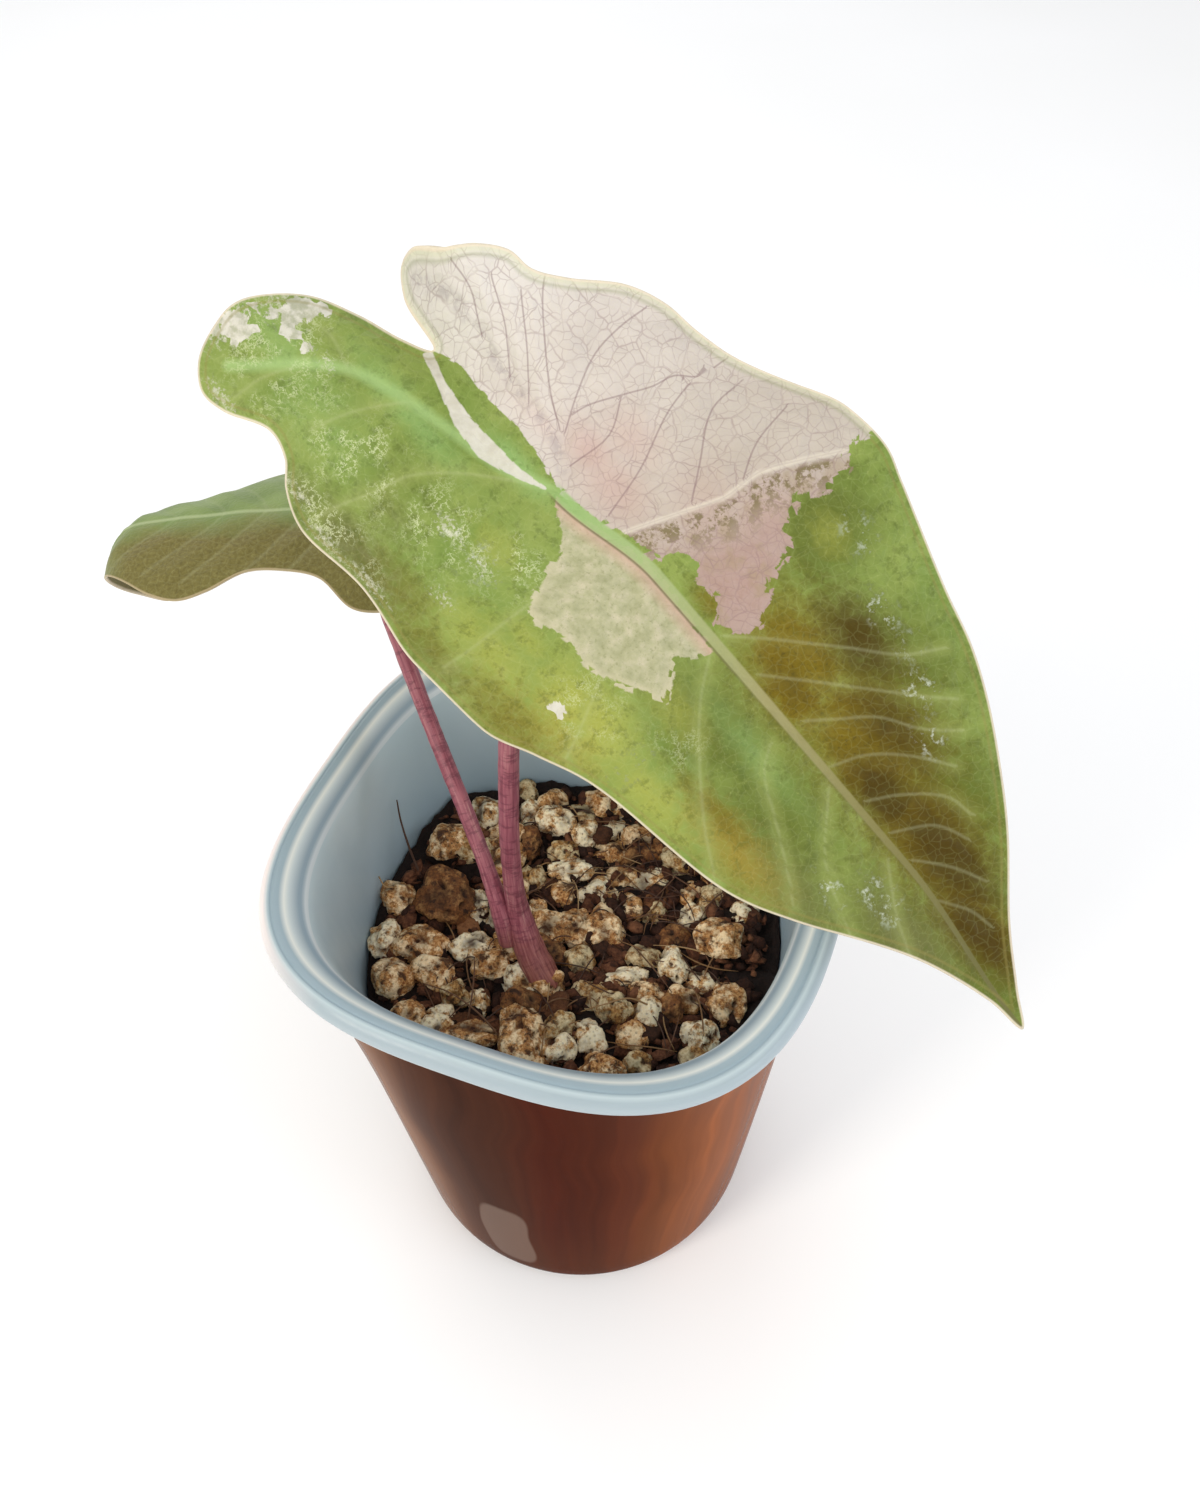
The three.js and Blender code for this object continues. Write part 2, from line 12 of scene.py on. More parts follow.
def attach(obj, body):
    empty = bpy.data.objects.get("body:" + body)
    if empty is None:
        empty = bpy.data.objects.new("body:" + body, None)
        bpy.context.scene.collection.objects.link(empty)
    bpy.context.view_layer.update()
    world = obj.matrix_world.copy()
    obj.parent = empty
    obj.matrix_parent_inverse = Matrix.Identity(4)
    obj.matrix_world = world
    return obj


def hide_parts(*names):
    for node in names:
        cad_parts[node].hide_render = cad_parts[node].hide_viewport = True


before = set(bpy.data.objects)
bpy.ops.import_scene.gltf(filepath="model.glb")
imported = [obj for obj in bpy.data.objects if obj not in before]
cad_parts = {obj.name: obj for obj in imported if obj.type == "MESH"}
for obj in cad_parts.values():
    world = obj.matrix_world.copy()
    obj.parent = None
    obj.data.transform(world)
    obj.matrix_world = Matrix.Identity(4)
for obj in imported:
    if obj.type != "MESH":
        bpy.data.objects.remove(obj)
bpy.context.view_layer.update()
MM = 0.001


# Camera
# It looks down over the pot's front corner, from about 21 cm above the surface and 10 cm in
# front of the pot, with a short lens like a phone's.
CAMERA_PLACE = (40.566, -94.015, 215.257)
CAMERA_AZIMUTH = 20.9406
CAMERA_ELEVATION = 47.5249
CAMERA_ROLL = -0.93758
CAMERA_LENS = 28.8

bpy.ops.object.select_all(action="DESELECT")
bpy.ops.object.camera_add()
camera = bpy.context.object
camera.data.sensor_width = 36
camera.data.lens = CAMERA_LENS
camera.data.clip_start = 0.005
facing = (
    Matrix.Rotation(math.radians(CAMERA_AZIMUTH), 4, "Z")
    @ Matrix.Rotation(math.radians(90 - CAMERA_ELEVATION), 4, "X")
    @ Matrix.Rotation(math.radians(CAMERA_ROLL), 4, "Z")
)
camera.matrix_world = Matrix.Translation(Vector(CAMERA_PLACE) * MM) @ facing
bpy.context.scene.camera = camera


# Studio
# A plain white table top, an even white room, and soft lamps: a large one in front and to
# the right, a smaller one at the left that reaches into the pot, a window and one behind.
TABLE_SIZE = 6000
TABLE_GAP = 0.3  # between the table and the pot's base
ROOM_LIGHT = 0.8


def srgb(code):
    """A colour written as six hex digits, turned to the linear numbers that materials take."""
    channels = [int(code[i:i + 2], 16) / 255 for i in (0, 2, 4)]
    linear = [c / 12.92 if c <= 0.04045 else ((c + 0.055) / 1.055) ** 2.4 for c in channels]
    return (*linear, 1.0)


def add_node(tree, kind, inputs=(), output=0, stops=(), **settings):
    """Adds a node with its settings, colour stops and inputs. It gives back one output, or
    all of them where output is None."""
    made = tree.nodes.new("ShaderNode" + kind)
    for name, value in settings.items():
        setattr(made, name, value)
    for place, (position, code) in enumerate(stops):
        ramp = made.color_ramp.elements
        stop = ramp[place] if place < 2 else ramp.new(position)
        stop.position = position
        stop.color = srgb(code)
    pairs = inputs.items() if isinstance(inputs, dict) else enumerate(inputs)
    for name, value in pairs:
        if isinstance(value, bpy.types.NodeSocket):
            tree.links.new(value, made.inputs[name])
        elif isinstance(value, str):
            made.inputs[name].default_value = srgb(value)
        else:
            made.inputs[name].default_value = value
    return made.outputs if output is None else made.outputs[output]


def start_material(name, **values):
    """A material with one Principled shader, the means to add its nodes, and its sockets."""
    material = bpy.data.materials.new(name)
    material.use_nodes = True
    tree = material.node_tree
    shader = tree.nodes["Principled BSDF"]
    for socket, value in values.items():
        shader.inputs[socket.replace("_", " ")].default_value = value
    return material, partial(add_node, tree), shader.inputs


def join_nodes(sockets, **sources):
    """Links each output to the shader's socket of that name."""
    for name, source in sources.items():
        socket = sockets[name.replace("_", " ")]
        socket.id_data.links.new(source, socket)


def place_in_mm(add):
    """Each point's own place on the finished piece, in millimetres."""
    place = add("TexCoord", output="Object")
    return add("VectorMath", {0: place, "Scale": 1000}, operation="SCALE")


def table_top():
    """Smooth white laminate, a little cloudy."""
    material, add, sockets = start_material("white_laminate", Roughness=0.6)
    cloud = add("TexNoise", {"Vector": place_in_mm(add), "Scale": 0.006, "Detail": 2})
    tone = add("ValToRGB", [cloud], stops=[(0.3, "f8f8f7"), (0.7, "fbfbfb")])
    join_nodes(sockets, Base_Color=tone)
    return material


bpy.ops.object.select_all(action="DESELECT")
bpy.ops.mesh.primitive_plane_add(size=TABLE_SIZE * MM, location=(0, 0, -TABLE_GAP * MM))
floor = bpy.context.object
floor.name = "table_top"
floor.data.materials.append(table_top())

SUBJECT = Vector((10, 0, 90)) * MM
LAMPS = [
    # name, place in mm, size in mm, watts, colour
    ("front_softbox", (420, -520, 720), 600, 1.7, "fffdfa"),
    ("left_lamp", (-260, -430, 400), 160, 1.3, "fff8ec"),
    ("window", (760, -60, 330), 380, 1.5, "f2f6ff"),
    ("back_softbox", (-420, 560, 620), 700, 1.3, "ffffff"),
]
for name, place, size, watts, tint in LAMPS:
    bpy.ops.object.light_add(type="AREA")
    lamp = bpy.context.object
    lamp.name = name
    lamp.data.size = size * MM
    lamp.data.energy = watts
    lamp.data.color = srgb(tint)[:3]
    lamp.location = Vector(place) * MM
    lamp.rotation_euler = (lamp.location - SUBJECT).to_track_quat("Z", "Y").to_euler()

room = bpy.data.worlds.new("white_room")
room.use_nodes = True
room.node_tree.nodes["Background"].inputs["Color"].default_value = srgb("fcfdff")
room.node_tree.nodes["Background"].inputs["Strength"].default_value = ROOM_LIGHT
bpy.context.scene.world = room
bpy.context.scene.view_settings.view_transform = "Standard"


# Outer pot
# One shell of lacquered brown plastic, round at the base and a rounded square at the mouth.
# It is moulded in one shot, and its plain rim is hidden under the liner's lip.
POT_HEIGHT = 88.2
BASE_HALF_WIDTH = 29.6
UPPER_HALF_WIDTH = 35.6
LIP_DEPTH = 2.4
BASE_ROUNDING = 4
OUTER_WALL = 1.6
OUTER_FLOOR = 2.4
RIM_HEIGHT = POT_HEIGHT - LIP_DEPTH - 0.9
POT_SIDES = 192
SHARPEST_KEPT = math.radians(24)  # edges that turn by more are rounded
FRONT_CORNER = 66.6  # degrees to turn the corner that faces the camera round to +X
REFLECTION_PATCH_PLACE = (-25, 19)  # the painted reflection patch: degrees round from that corner, and height
REFLECTION_PATCH_REACH = (9, 13)


def corner_exponent(height):
    share = min(max(height / POT_HEIGHT, 0), 1)
    return 2 + 0.25 * share + 0.75 * share**6


def corner_reach(angle, exponent):
    along = abs(math.cos(angle)) ** exponent
    across = abs(math.sin(angle)) ** exponent
    return (along + across) ** (-1 / exponent)


def outside_half_width(height):
    share = max(height, 0) / (POT_HEIGHT - LIP_DEPTH)
    return BASE_HALF_WIDTH + (UPPER_HALF_WIDTH - BASE_HALF_WIDTH) * share**0.91


def inside_half_width(height):
    return outside_half_width(height) - OUTER_WALL


def bottom_edge(wall, floor_height, rounding, steps=8):
    """Profile points from the flat of a base round its edge and up to the wall."""
    points = []
    for i in range(steps + 1):
        turn = i / steps * math.pi / 2
        height = floor_height + rounding * (1 - math.cos(turn))
        points.append((wall(height) - rounding * (1 - math.sin(turn)), height))
    return points


def wall_rows(wall, start, end, rows):
    heights = [start + (end - start) * i / rows for i in range(rows + 1)]
    return [(wall(height), height) for height in heights]


def turned_shell(name, profile, bevel):
    """Extrudes a disc ring by ring along a profile, closes it, and squares it off upwards."""
    width, height = profile[0]
    bpy.ops.object.select_all(action="DESELECT")
    bpy.ops.mesh.primitive_circle_add(
        vertices=POT_SIDES, radius=width * MM, fill_type="TRIFAN", location=(0, 0, height * MM)
    )
    shell = bpy.context.object
    shell.name = name
    bpy.ops.object.transform_apply(location=True)
    bpy.ops.object.mode_set(mode="EDIT")
    bpy.ops.mesh.select_mode(type="EDGE")
    bpy.ops.mesh.select_all(action="DESELECT")
    cage = bmesh.from_edit_mesh(shell.data)
    for edge in cage.edges:
        edge.select_set(edge.is_boundary)
    bmesh.update_edit_mesh(shell.data)
    for next_width, next_height in profile[1:]:
        rise = (next_height - height) * MM
        growth = next_width / width
        bpy.ops.mesh.extrude_edges_move(TRANSFORM_OT_translate={"value": (0, 0, rise)})
        bpy.ops.transform.resize(value=(growth, growth, 1), center_override=(0, 0, 0))
        width, height = next_width, next_height
    bpy.ops.mesh.edge_face_add()
    bpy.ops.mesh.poke()
    bpy.ops.mesh.select_all(action="SELECT")
    bpy.ops.mesh.normals_make_consistent(inside=False)
    bpy.ops.object.mode_set(mode="OBJECT")
    for corner in shell.data.vertices:
        x, y, z = corner.co
        reach = corner_reach(math.atan2(y, x), corner_exponent(z / MM))
        corner.co = (x * reach, y * reach, z)
    rounding = shell.modifiers.new("rounded_edges", "BEVEL")
    rounding.width = bevel * MM
    rounding.segments = 3
    rounding.limit_method = "ANGLE"
    rounding.angle_limit = SHARPEST_KEPT
    bpy.ops.object.modifier_apply(modifier=rounding.name)
    bpy.ops.object.shade_smooth_by_angle(angle=math.radians(40))
    return shell


def paint_over(add, tone, layers):
    """Lays colours over a tone. Each has the shares that are multiplied to give how much of it
    shows: an output, or a value with the stretch of it that turns into another stretch."""
    for colour, *shares in layers:
        found = [add("MapRange", s) if isinstance(s, tuple) else s for s in shares]
        total = found[0]
        for share in found[1:]:
            total = add("Math", [total, share], operation="MULTIPLY")
        tone = add("MixRGB", [total, tone, colour])
    return tone


def brown_lacquer():
    """Brown lacquer over moulded plastic, with almost no shine of its own. Its tone changes round
    the pot as a painted reflection, darkest near the front corner, with long upright streaks
    painted as the reflection of a wooden table, and a pale patch near the foot is a painted
    reflection too. It is darker towards the foot."""
    material, add, sockets = start_material("brown_lacquer", Specular_IOR_Level=0.003)
    millimetres = place_in_mm(add)
    turned = add("VectorRotate", {"Vector": millimetres, "Angle": math.radians(FRONT_CORNER)},
                 rotation_type="Z_AXIS")
    x, y, z = add("SeparateXYZ", [turned], output=None)
    angle = add("Math", [y, x], operation="ARCTAN2")
    sway = add("TexNoise", {"Vector": millimetres, "Scale": 1 / 28, "Detail": 1})
    sway = add("Math", [sway, 0.22, -0.11], operation="MULTIPLY_ADD")
    swayed = add("Math", [angle, sway])
    degrees = add("Math", [swayed, 180 / math.pi], operation="MULTIPLY")
    share = add("MapRange", [degrees, -180, 180, 0, 1])
    # the tones round the pot: painted reflections, darkest near the front corner
    tones = [
        (0.0, "54301a"), (0.25, "6b4024"), (0.36, "784e32"), (0.385, "4c2c1c"), (0.42, "3c1f12"),
        (0.445, "442213"), (0.475, "451808"), (0.51, "481d0b"), (0.53, "562713"),
        (0.55, "683516"), (0.585, "8e4e26"), (0.64, "7e431b"), (0.8, "62361a"), (1.0, "54301a"),
    ]
    painted_reflection_tones = add("ValToRGB", [share], stops=tones)
    # long upright streaks: a painted reflection of a wooden table
    streak_place = add("CombineXYZ", [degrees, 0, add("Math", [z, 0.06], operation="MULTIPLY")])
    fine = add("TexNoise", {"Vector": streak_place, "Scale": 0.22, "Detail": 3, "Roughness": 0.5,
                            "Distortion": 0.6})
    reflection_streaks = add("MapRange", [fine, 0.35, 0.7, 0.84, 1.14])
    streaked_reflections = add("VectorMath", {0: painted_reflection_tones, "Scale": reflection_streaks}, operation="SCALE")
    low = add("MapRange", [z, 34, 6, 0, 0.3], interpolation_type="SMOOTHSTEP")
    # a pale patch near the foot: a painted reflection
    from_patch = []
    for value, middle, reach in zip((degrees, z), REFLECTION_PATCH_PLACE, REFLECTION_PATCH_REACH):
        off = add("Math", [value, middle], operation="SUBTRACT")
        share = add("Math", [add("Math", [off], operation="ABSOLUTE"), reach], operation="DIVIDE")
        from_patch.append(add("Math", [share, 4], operation="POWER"))
    away = add("Math", from_patch)
    patch = add("MapRange", [away, 1.2, 0.7, 0, 0.5], interpolation_type="SMOOTHSTEP")
    # darker towards the foot, and the pale painted reflection patch
    tone = paint_over(add, streaked_reflections, [("5c2f14", low), ("857064", patch)])
    haze = add("MapRange", [fine, 0.3, 0.7, 0.17, 0.24])
    orange_peel = add("TexNoise", {"Vector": millimetres, "Scale": 0.4, "Detail": 2})
    relief = add("Bump", {"Height": orange_peel, "Distance": 0.00004, "Strength": 0.5})
    join_nodes(sockets, Base_Color=tone, Roughness=haze, Normal=relief)
    return material


outer_profile = [
    *bottom_edge(outside_half_width, 0, BASE_ROUNDING),
    *wall_rows(outside_half_width, BASE_ROUNDING + 3, RIM_HEIGHT, 18),
    *wall_rows(inside_half_width, RIM_HEIGHT, OUTER_FLOOR + 5, 12),
    *reversed(bottom_edge(inside_half_width, OUTER_FLOOR, BASE_ROUNDING - 1)),
]
outer_pot = turned_shell("brown_outer_pot", outer_profile, 0.35)
outer_pot.data.materials.append(brown_lacquer())
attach(outer_pot, "root")
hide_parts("outer_pot")


# Inner pot
# A thin liner of frosted blue-grey polypropylene, blow moulded. It hangs in the outer pot by
# its rolled lip, which has a fine seam along the crest, and its floor has four drain holes.
MOUTH_HALF_WIDTH = 38
WALL_SPACE = 0.5
INNER_WALL = 1
INNER_POT_BOTTOM = 5
INNER_FLOOR = INNER_POT_BOTTOM + INNER_WALL
SEAT_GAP = 0.3
LIP_SEAT = RIM_HEIGHT + SEAT_GAP
NECK_HEIGHT = POT_HEIGHT - 5
# the rolled lip: inwards from its outer edge, and up from its seat or down from its top
LIP_BELOW = [(1.3, 0), (0.5, 0.1), (0.1, 0.45), (0, 0.9)]
LIP_ABOVE = [
    (0, 1.5), (0.2, 0.9), (0.6, 0.4), (1.1, 0.12), (1.55, 0.02), (1.75, 0.16), (1.95, 0.02),
    (2.4, 0.1), (3, 0.4), (3.8, 1.1),
]
DRAIN_HOLES = 4
DRAIN_HOLE_RADIUS = 3
DRAIN_CIRCLE_RADIUS = 13


def inner_pot_half_width(height):
    return inside_half_width(height) - WALL_SPACE


def inner_wall_half_width(height):
    return inner_pot_half_width(height) - INNER_WALL


def keep_values(piece, name, values, kind="FLOAT"):
    """Stores a number or a vector for each point, for the material to read."""
    field = piece.data.attributes.new(name, kind, "POINT")
    flat = np.asarray(values, np.float32).ravel()
    field.data.foreach_set("vector" if kind == "FLOAT_VECTOR" else "value", flat)


def frosted_liner():
    """Frosted polypropylene: thin, soft and waxy. Its lip has painted highlights that make its
    crest and lower edge paler, the wall is painted lighter towards the top and darker deeper
    in as painted light and shade, and painted pink light comes through the rim at the back left."""
    material, add, sockets = start_material(
        "frosted_polypropylene", IOR=1.49, Subsurface_Weight=0.12,
        Subsurface_Radius=(0.004, 0.004, 0.005), Subsurface_Scale=1.0,
    )
    millimetres = place_in_mm(add)
    z = add("SeparateXYZ", [millimetres], output="Z")
    cloud = add("TexNoise", {"Vector": millimetres, "Scale": 1 / 18, "Detail": 3})
    # painted light and shade: the wall is lighter towards the top and darker deeper in
    painted_light_on_wall = add("ValToRGB", [cloud], stops=[(0.35, "b4c4c8"), (0.65, "c2ced0")])
    body = paint_over(add, "9fb4c2", [(painted_light_on_wall, (z, 60, 84, 0, 1))])
    width = add("Attribute", attribute_name="width_mm", output="Fac")
    # the lip's tones from inside out, with a painted highlight along the crest
    lip = add("ValToRGB", [add("MapRange", [width, 32, 38, 0, 1])], stops=[
        (0.0, "8fa2aa"), (0.25, "8c9da6"), (0.4, "c0c9c8"), (0.47, "dbddd5"), (0.56, "94a6ad"),
        (0.72, "8c9ea6"), (0.8, "b4c2c4"), (0.88, "9aa8ad"), (1.0, "a0adb2"),
    ])
    # a painted highlight along the lip's lower edge
    lip = paint_over(add, lip, [("e6e9e7", (z, LIP_SEAT + 0.9, LIP_SEAT + 0.3, 0, 0.6))])
    is_lip = add("Math", [z, LIP_SEAT - 0.3], operation="GREATER_THAN")
    to_back_left = add("VectorMath", [millimetres, (-0.028, 0.006, 0)], output="Value",
                       operation="DOT_PRODUCT")
    tone = paint_over(add, body, [
        (lip, is_lip),
        # painted pink light through the rim at the back left
        ("efe2dc", (to_back_left, 0.3, 0.75, 0, 0.9), (width, 36.6, 37.2, 0, 1), is_lip),
    ])
    scuff_place = add("VectorMath", [millimetres, (1, 1, 0.12)], operation="MULTIPLY")
    scuff = add("TexNoise", {"Vector": scuff_place, "Scale": 0.7, "Detail": 4})
    ripple = add("TexNoise", {"Vector": millimetres, "Scale": 0.16, "Detail": 2})
    relief = add("Bump", {"Height": ripple, "Distance": 0.0002, "Strength": 0.25})
    join_nodes(
        sockets,
        Base_Color=tone,
        Roughness=add("MapRange", [scuff, 0.35, 0.7, 0.34, 0.42]),
        Normal=relief,
    )
    return material


neck = inner_wall_half_width(NECK_HEIGHT)
inner_profile = [
    *bottom_edge(inner_pot_half_width, INNER_POT_BOTTOM, 3),
    *wall_rows(inner_pot_half_width, INNER_POT_BOTTOM + 5, LIP_SEAT - 0.7, 14),
    (inner_pot_half_width(LIP_SEAT) + 0.3, LIP_SEAT),
    *[(MOUTH_HALF_WIDTH - inwards, LIP_SEAT + up) for inwards, up in LIP_BELOW],
    *[(MOUTH_HALF_WIDTH - inwards, POT_HEIGHT - down) for inwards, down in LIP_ABOVE],
    (neck + 0.75, POT_HEIGHT - 2.3),
    (neck + 0.3, POT_HEIGHT - 3.6),
    *wall_rows(inner_wall_half_width, NECK_HEIGHT, INNER_FLOOR + 4, 16),
    *reversed(bottom_edge(inner_wall_half_width, INNER_FLOOR, 2)),
]
liner = turned_shell("frosted_inner_pot", inner_profile, 0.15)
for hole in range(DRAIN_HOLES):
    angle = (hole + 0.5) * 2 * math.pi / DRAIN_HOLES
    bpy.ops.object.select_all(action="DESELECT")
    bpy.ops.mesh.primitive_cylinder_add(
        vertices=32, radius=DRAIN_HOLE_RADIUS * MM, depth=4 * INNER_WALL * MM,
        location=Vector((
            DRAIN_CIRCLE_RADIUS * math.cos(angle),
            DRAIN_CIRCLE_RADIUS * math.sin(angle),
            INNER_POT_BOTTOM + INNER_WALL / 2,
        )) * MM,
    )
    drill = bpy.context.object
    cut = liner.modifiers.new("drain_hole", "BOOLEAN")
    cut.operation = "DIFFERENCE"
    cut.object = drill
    bpy.context.view_layer.objects.active = liner
    bpy.ops.object.modifier_apply(modifier=cut.name)
    bpy.data.objects.remove(drill)
widths = []
for corner in liner.data.vertices:
    x, y, z = corner.co / MM
    widths.append(math.hypot(x, y) / corner_reach(math.atan2(y, x), corner_exponent(z)))
keep_values(liner, "width_mm", widths)
liner.data.materials.append(frosted_liner())
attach(liner, "root")
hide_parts("inner_pot")


# Potting mix
# Damp peat and coir, nearly black where it is wet. It is level but for low hills, and banked
# up a little against the liner at the back left. Loose crumbs and flakes lie all over it.
MIX_LEVEL = 61
MIX_RINGS = 60
MIX_GRAINS = [(4.5, 0.9), (1.9, 0.9), (0.9, 0.5), (0.45, 0.25)]  # size and depth
CRUMB_COUNT = 1500
CRUMB_REACH = 28
FULL_TURN = 6.28


def smooth_step(start, end, value):
    share = np.clip((value - start) / (end - start), 0, 1)
    return share * share * (3 - 2 * share)


def seeded_draws(seed):
    """Draws between 0 and 1, the same on every run."""
    state = seed
    while True:
        state = (state * 1664525 + 1013904223) % 2**32
        yield state / 2**32


def mix_height(x, y):
    hills = 0.7 * math.sin(0.31 * x + 1.2) * math.sin(0.27 * y - 0.6)
    bank = 4 * math.exp(-(((x + 28) / 11) ** 2 + ((y - 12) / 12) ** 2))
    return MIX_LEVEL + hills + bank


def roughness_at(x, y, z, sizes):
    """Random rise and fall at a point, summed from several grain sizes and their depths."""
    return sum(depth * noise.noise(Vector((x, y, z)) / grain) for grain, depth in sizes)


def inside_mouth(x, y, margin, height):
    exponent = corner_exponent(height)
    limit = inner_wall_half_width(height) - margin
    return (abs(x) ** exponent + abs(y) ** exponent) ** (1 / exponent) < limit


def mesh_from(name, points, faces, material):
    """A smooth-shaded piece from points in millimetres, with no place of its own."""
    mesh = bpy.data.meshes.new(name)
    mesh.from_pydata((np.asarray(points) * MM).tolist(), [], faces)
    mesh.materials.append(material)
    mesh.polygons.foreach_set("use_smooth", [True] * len(mesh.polygons))
    piece = bpy.data.objects.new(name, mesh)
    bpy.context.scene.collection.objects.link(piece)
    return piece


def ball(subdivisions):
    """The points and faces of an ico sphere with a radius of 1."""
    bpy.ops.object.select_all(action="DESELECT")
    bpy.ops.mesh.primitive_ico_sphere_add(subdivisions=subdivisions, radius=1)
    made = bpy.context.object
    points = np.array([corner.co for corner in made.data.vertices])
    faces = [list(face.vertices) for face in made.data.polygons]
    bpy.data.objects.remove(made)
    return points, faces


def gather(name, lumps, material):
    """One piece from many lumps, each given as points, faces and a tone for all its points or
    for each of them."""
    points, faces, tones = [], [], []
    start = 0
    for lump_points, lump_faces, tone in lumps:
        points.append(lump_points)
        faces.extend([[start + corner for corner in face] for face in lump_faces])
        tones.append(np.full(len(lump_points), tone))
        start += len(lump_points)
    piece = mesh_from(name, np.vstack(points), faces, material)
    keep_values(piece, "tone", np.concatenate(tones))
    return piece


def turn_matrix(turn_x, turn_y, turn_z):
    turned = (
        Matrix.Rotation(turn_z, 3, "Z")
        @ Matrix.Rotation(turn_y, 3, "Y")
        @ Matrix.Rotation(turn_x, 3, "X")
    )
    return np.array(turned)


def damp_coir(name, tones, wet):
    """Broken coir and peat: matt fibres in dark browns, with a little shine where wet."""
    material, add, sockets = start_material(name, Roughness=0.85, Specular_IOR_Level=wet)
    millimetres = place_in_mm(add)
    own = add("Attribute", attribute_name="tone", output="Fac")
    fibre = add("TexNoise", {"Vector": millimetres, "Scale": 1.6, "Detail": 5, "Roughness": 0.7})
    mixed = add("Math", [add("Math", [own, 0.6], operation="MULTIPLY"), fibre])
    share = add("MapRange", [mixed, 0.3, 1.2, 0, 1])
    relief = add("Bump", {"Height": fibre, "Distance": 0.0004, "Strength": 0.8})
    join_nodes(sockets, Base_Color=add("ValToRGB", [share], stops=tones), Normal=relief)
    return material


def mix_side_half_width(height):
    return inner_wall_half_width(height) - SEAT_GAP


mix_side = mix_side_half_width(MIX_LEVEL)
mix_profile = [
    *bottom_edge(mix_side_half_width, INNER_FLOOR + SEAT_GAP, 2.2, 4),
    *wall_rows(mix_side_half_width, INNER_FLOOR + 5, MIX_LEVEL, 6),
    *[(mix_side * (1 - ring / MIX_RINGS), MIX_LEVEL) for ring in range(1, MIX_RINGS)],
]
mix = turned_shell("coir_potting_mix", mix_profile, 0.2)
for corner in mix.data.vertices:
    x, y, z = corner.co / MM
    if z > MIX_LEVEL - 1:
        corner.co.z = (mix_height(x, y) + roughness_at(x, y, 0, MIX_GRAINS)) * MM
mix.data.materials.append(damp_coir("damp_coir", [
    (0.2, "1a0f0b"), (0.5, "2e1a13"), (0.7, "43291d"), (0.9, "5b3a28"),
], 0.3))
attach(mix, "root")
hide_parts("potting_mix")

draw = seeded_draws(311)
small_ball, small_faces = ball(1)
crumbs = []
while len(crumbs) < CRUMB_COUNT:
    x = (2 * next(draw) - 1) * CRUMB_REACH
    y = (2 * next(draw) - 1) * CRUMB_REACH
    long = 0.5 + 1.5 * next(draw) ** 2
    size = np.array([long, long * (0.35 + 0.5 * next(draw)), long * (0.25 + 0.3 * next(draw))])
    turn = turn_matrix(
        0.9 * (next(draw) - 0.5), 0.9 * (next(draw) - 0.5), FULL_TURN * next(draw)
    )
    lift = 0.2 + 0.9 * next(draw)
    tone = next(draw)
    if not inside_mouth(x, y, 1 + long, MIX_LEVEL):
        continue
    rough = [1 + 0.9 * noise.noise(Vector(p) * 1.4 + Vector((x, y, 5))) for p in small_ball]
    points = (small_ball * np.array(rough)[:, None] * size) @ turn.T
    crumbs.append((points + [x, y, mix_height(x, y) + lift], small_faces, tone))
loose_coir = gather("loose_coir_crumbs", crumbs, damp_coir("loose_coir", [
    (0.1, "22130e"), (0.45, "3a2117"), (0.7, "5a3523"), (0.95, "80543a"),
], 0.25))
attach(loose_coir, "root")


# Bark chips
# Thin flakes of brown bark, split along the grain, that lie in the top of the mix.
CHIP_COUNT = 10
CHIP_REACH = 25
CHIP_THICKNESS = 1.4
GOLDEN_TURN = 2.4  # it spreads them evenly round the mix
chip_ball, chip_faces = ball(4)
draw = seeded_draws(7)
chips = []
for i in range(CHIP_COUNT):
    angle = GOLDEN_TURN * i
    distance = CHIP_REACH * math.sqrt((i + 0.6) / CHIP_COUNT)
    x, y = distance * math.cos(angle), distance * math.sin(angle)
    half = np.array([5 + 4 * next(draw), 2.5 + 2 * next(draw), CHIP_THICKNESS]) / 2
    turn = turn_matrix(0, 0.7 * (next(draw) - 0.5), FULL_TURN * next(draw))
    # a box with soft corners: the ball's points pushed out towards the box's faces
    boxed = chip_ball / (np.abs(chip_ball) ** 6).sum(1)[:, None] ** (1 / 6)
    grain = [0.13 * noise.noise(Vector((p[0], 6 * p[1], 5 * p[2] + i))) for p in boxed]
    points = (boxed * (1 + np.array(grain))[:, None] * half) @ turn.T
    chips.append((points + [x, y, mix_height(x, y) + 0.4], chip_faces, (i % 5) / 4))
bark_chips = gather("bark_chips", chips, damp_coir("split_bark", [
    (0.1, "2a170f"), (0.4, "4a2b1a"), (0.7, "6e4529"), (0.95, "946440"),
], 0.3))
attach(bark_chips, "root")
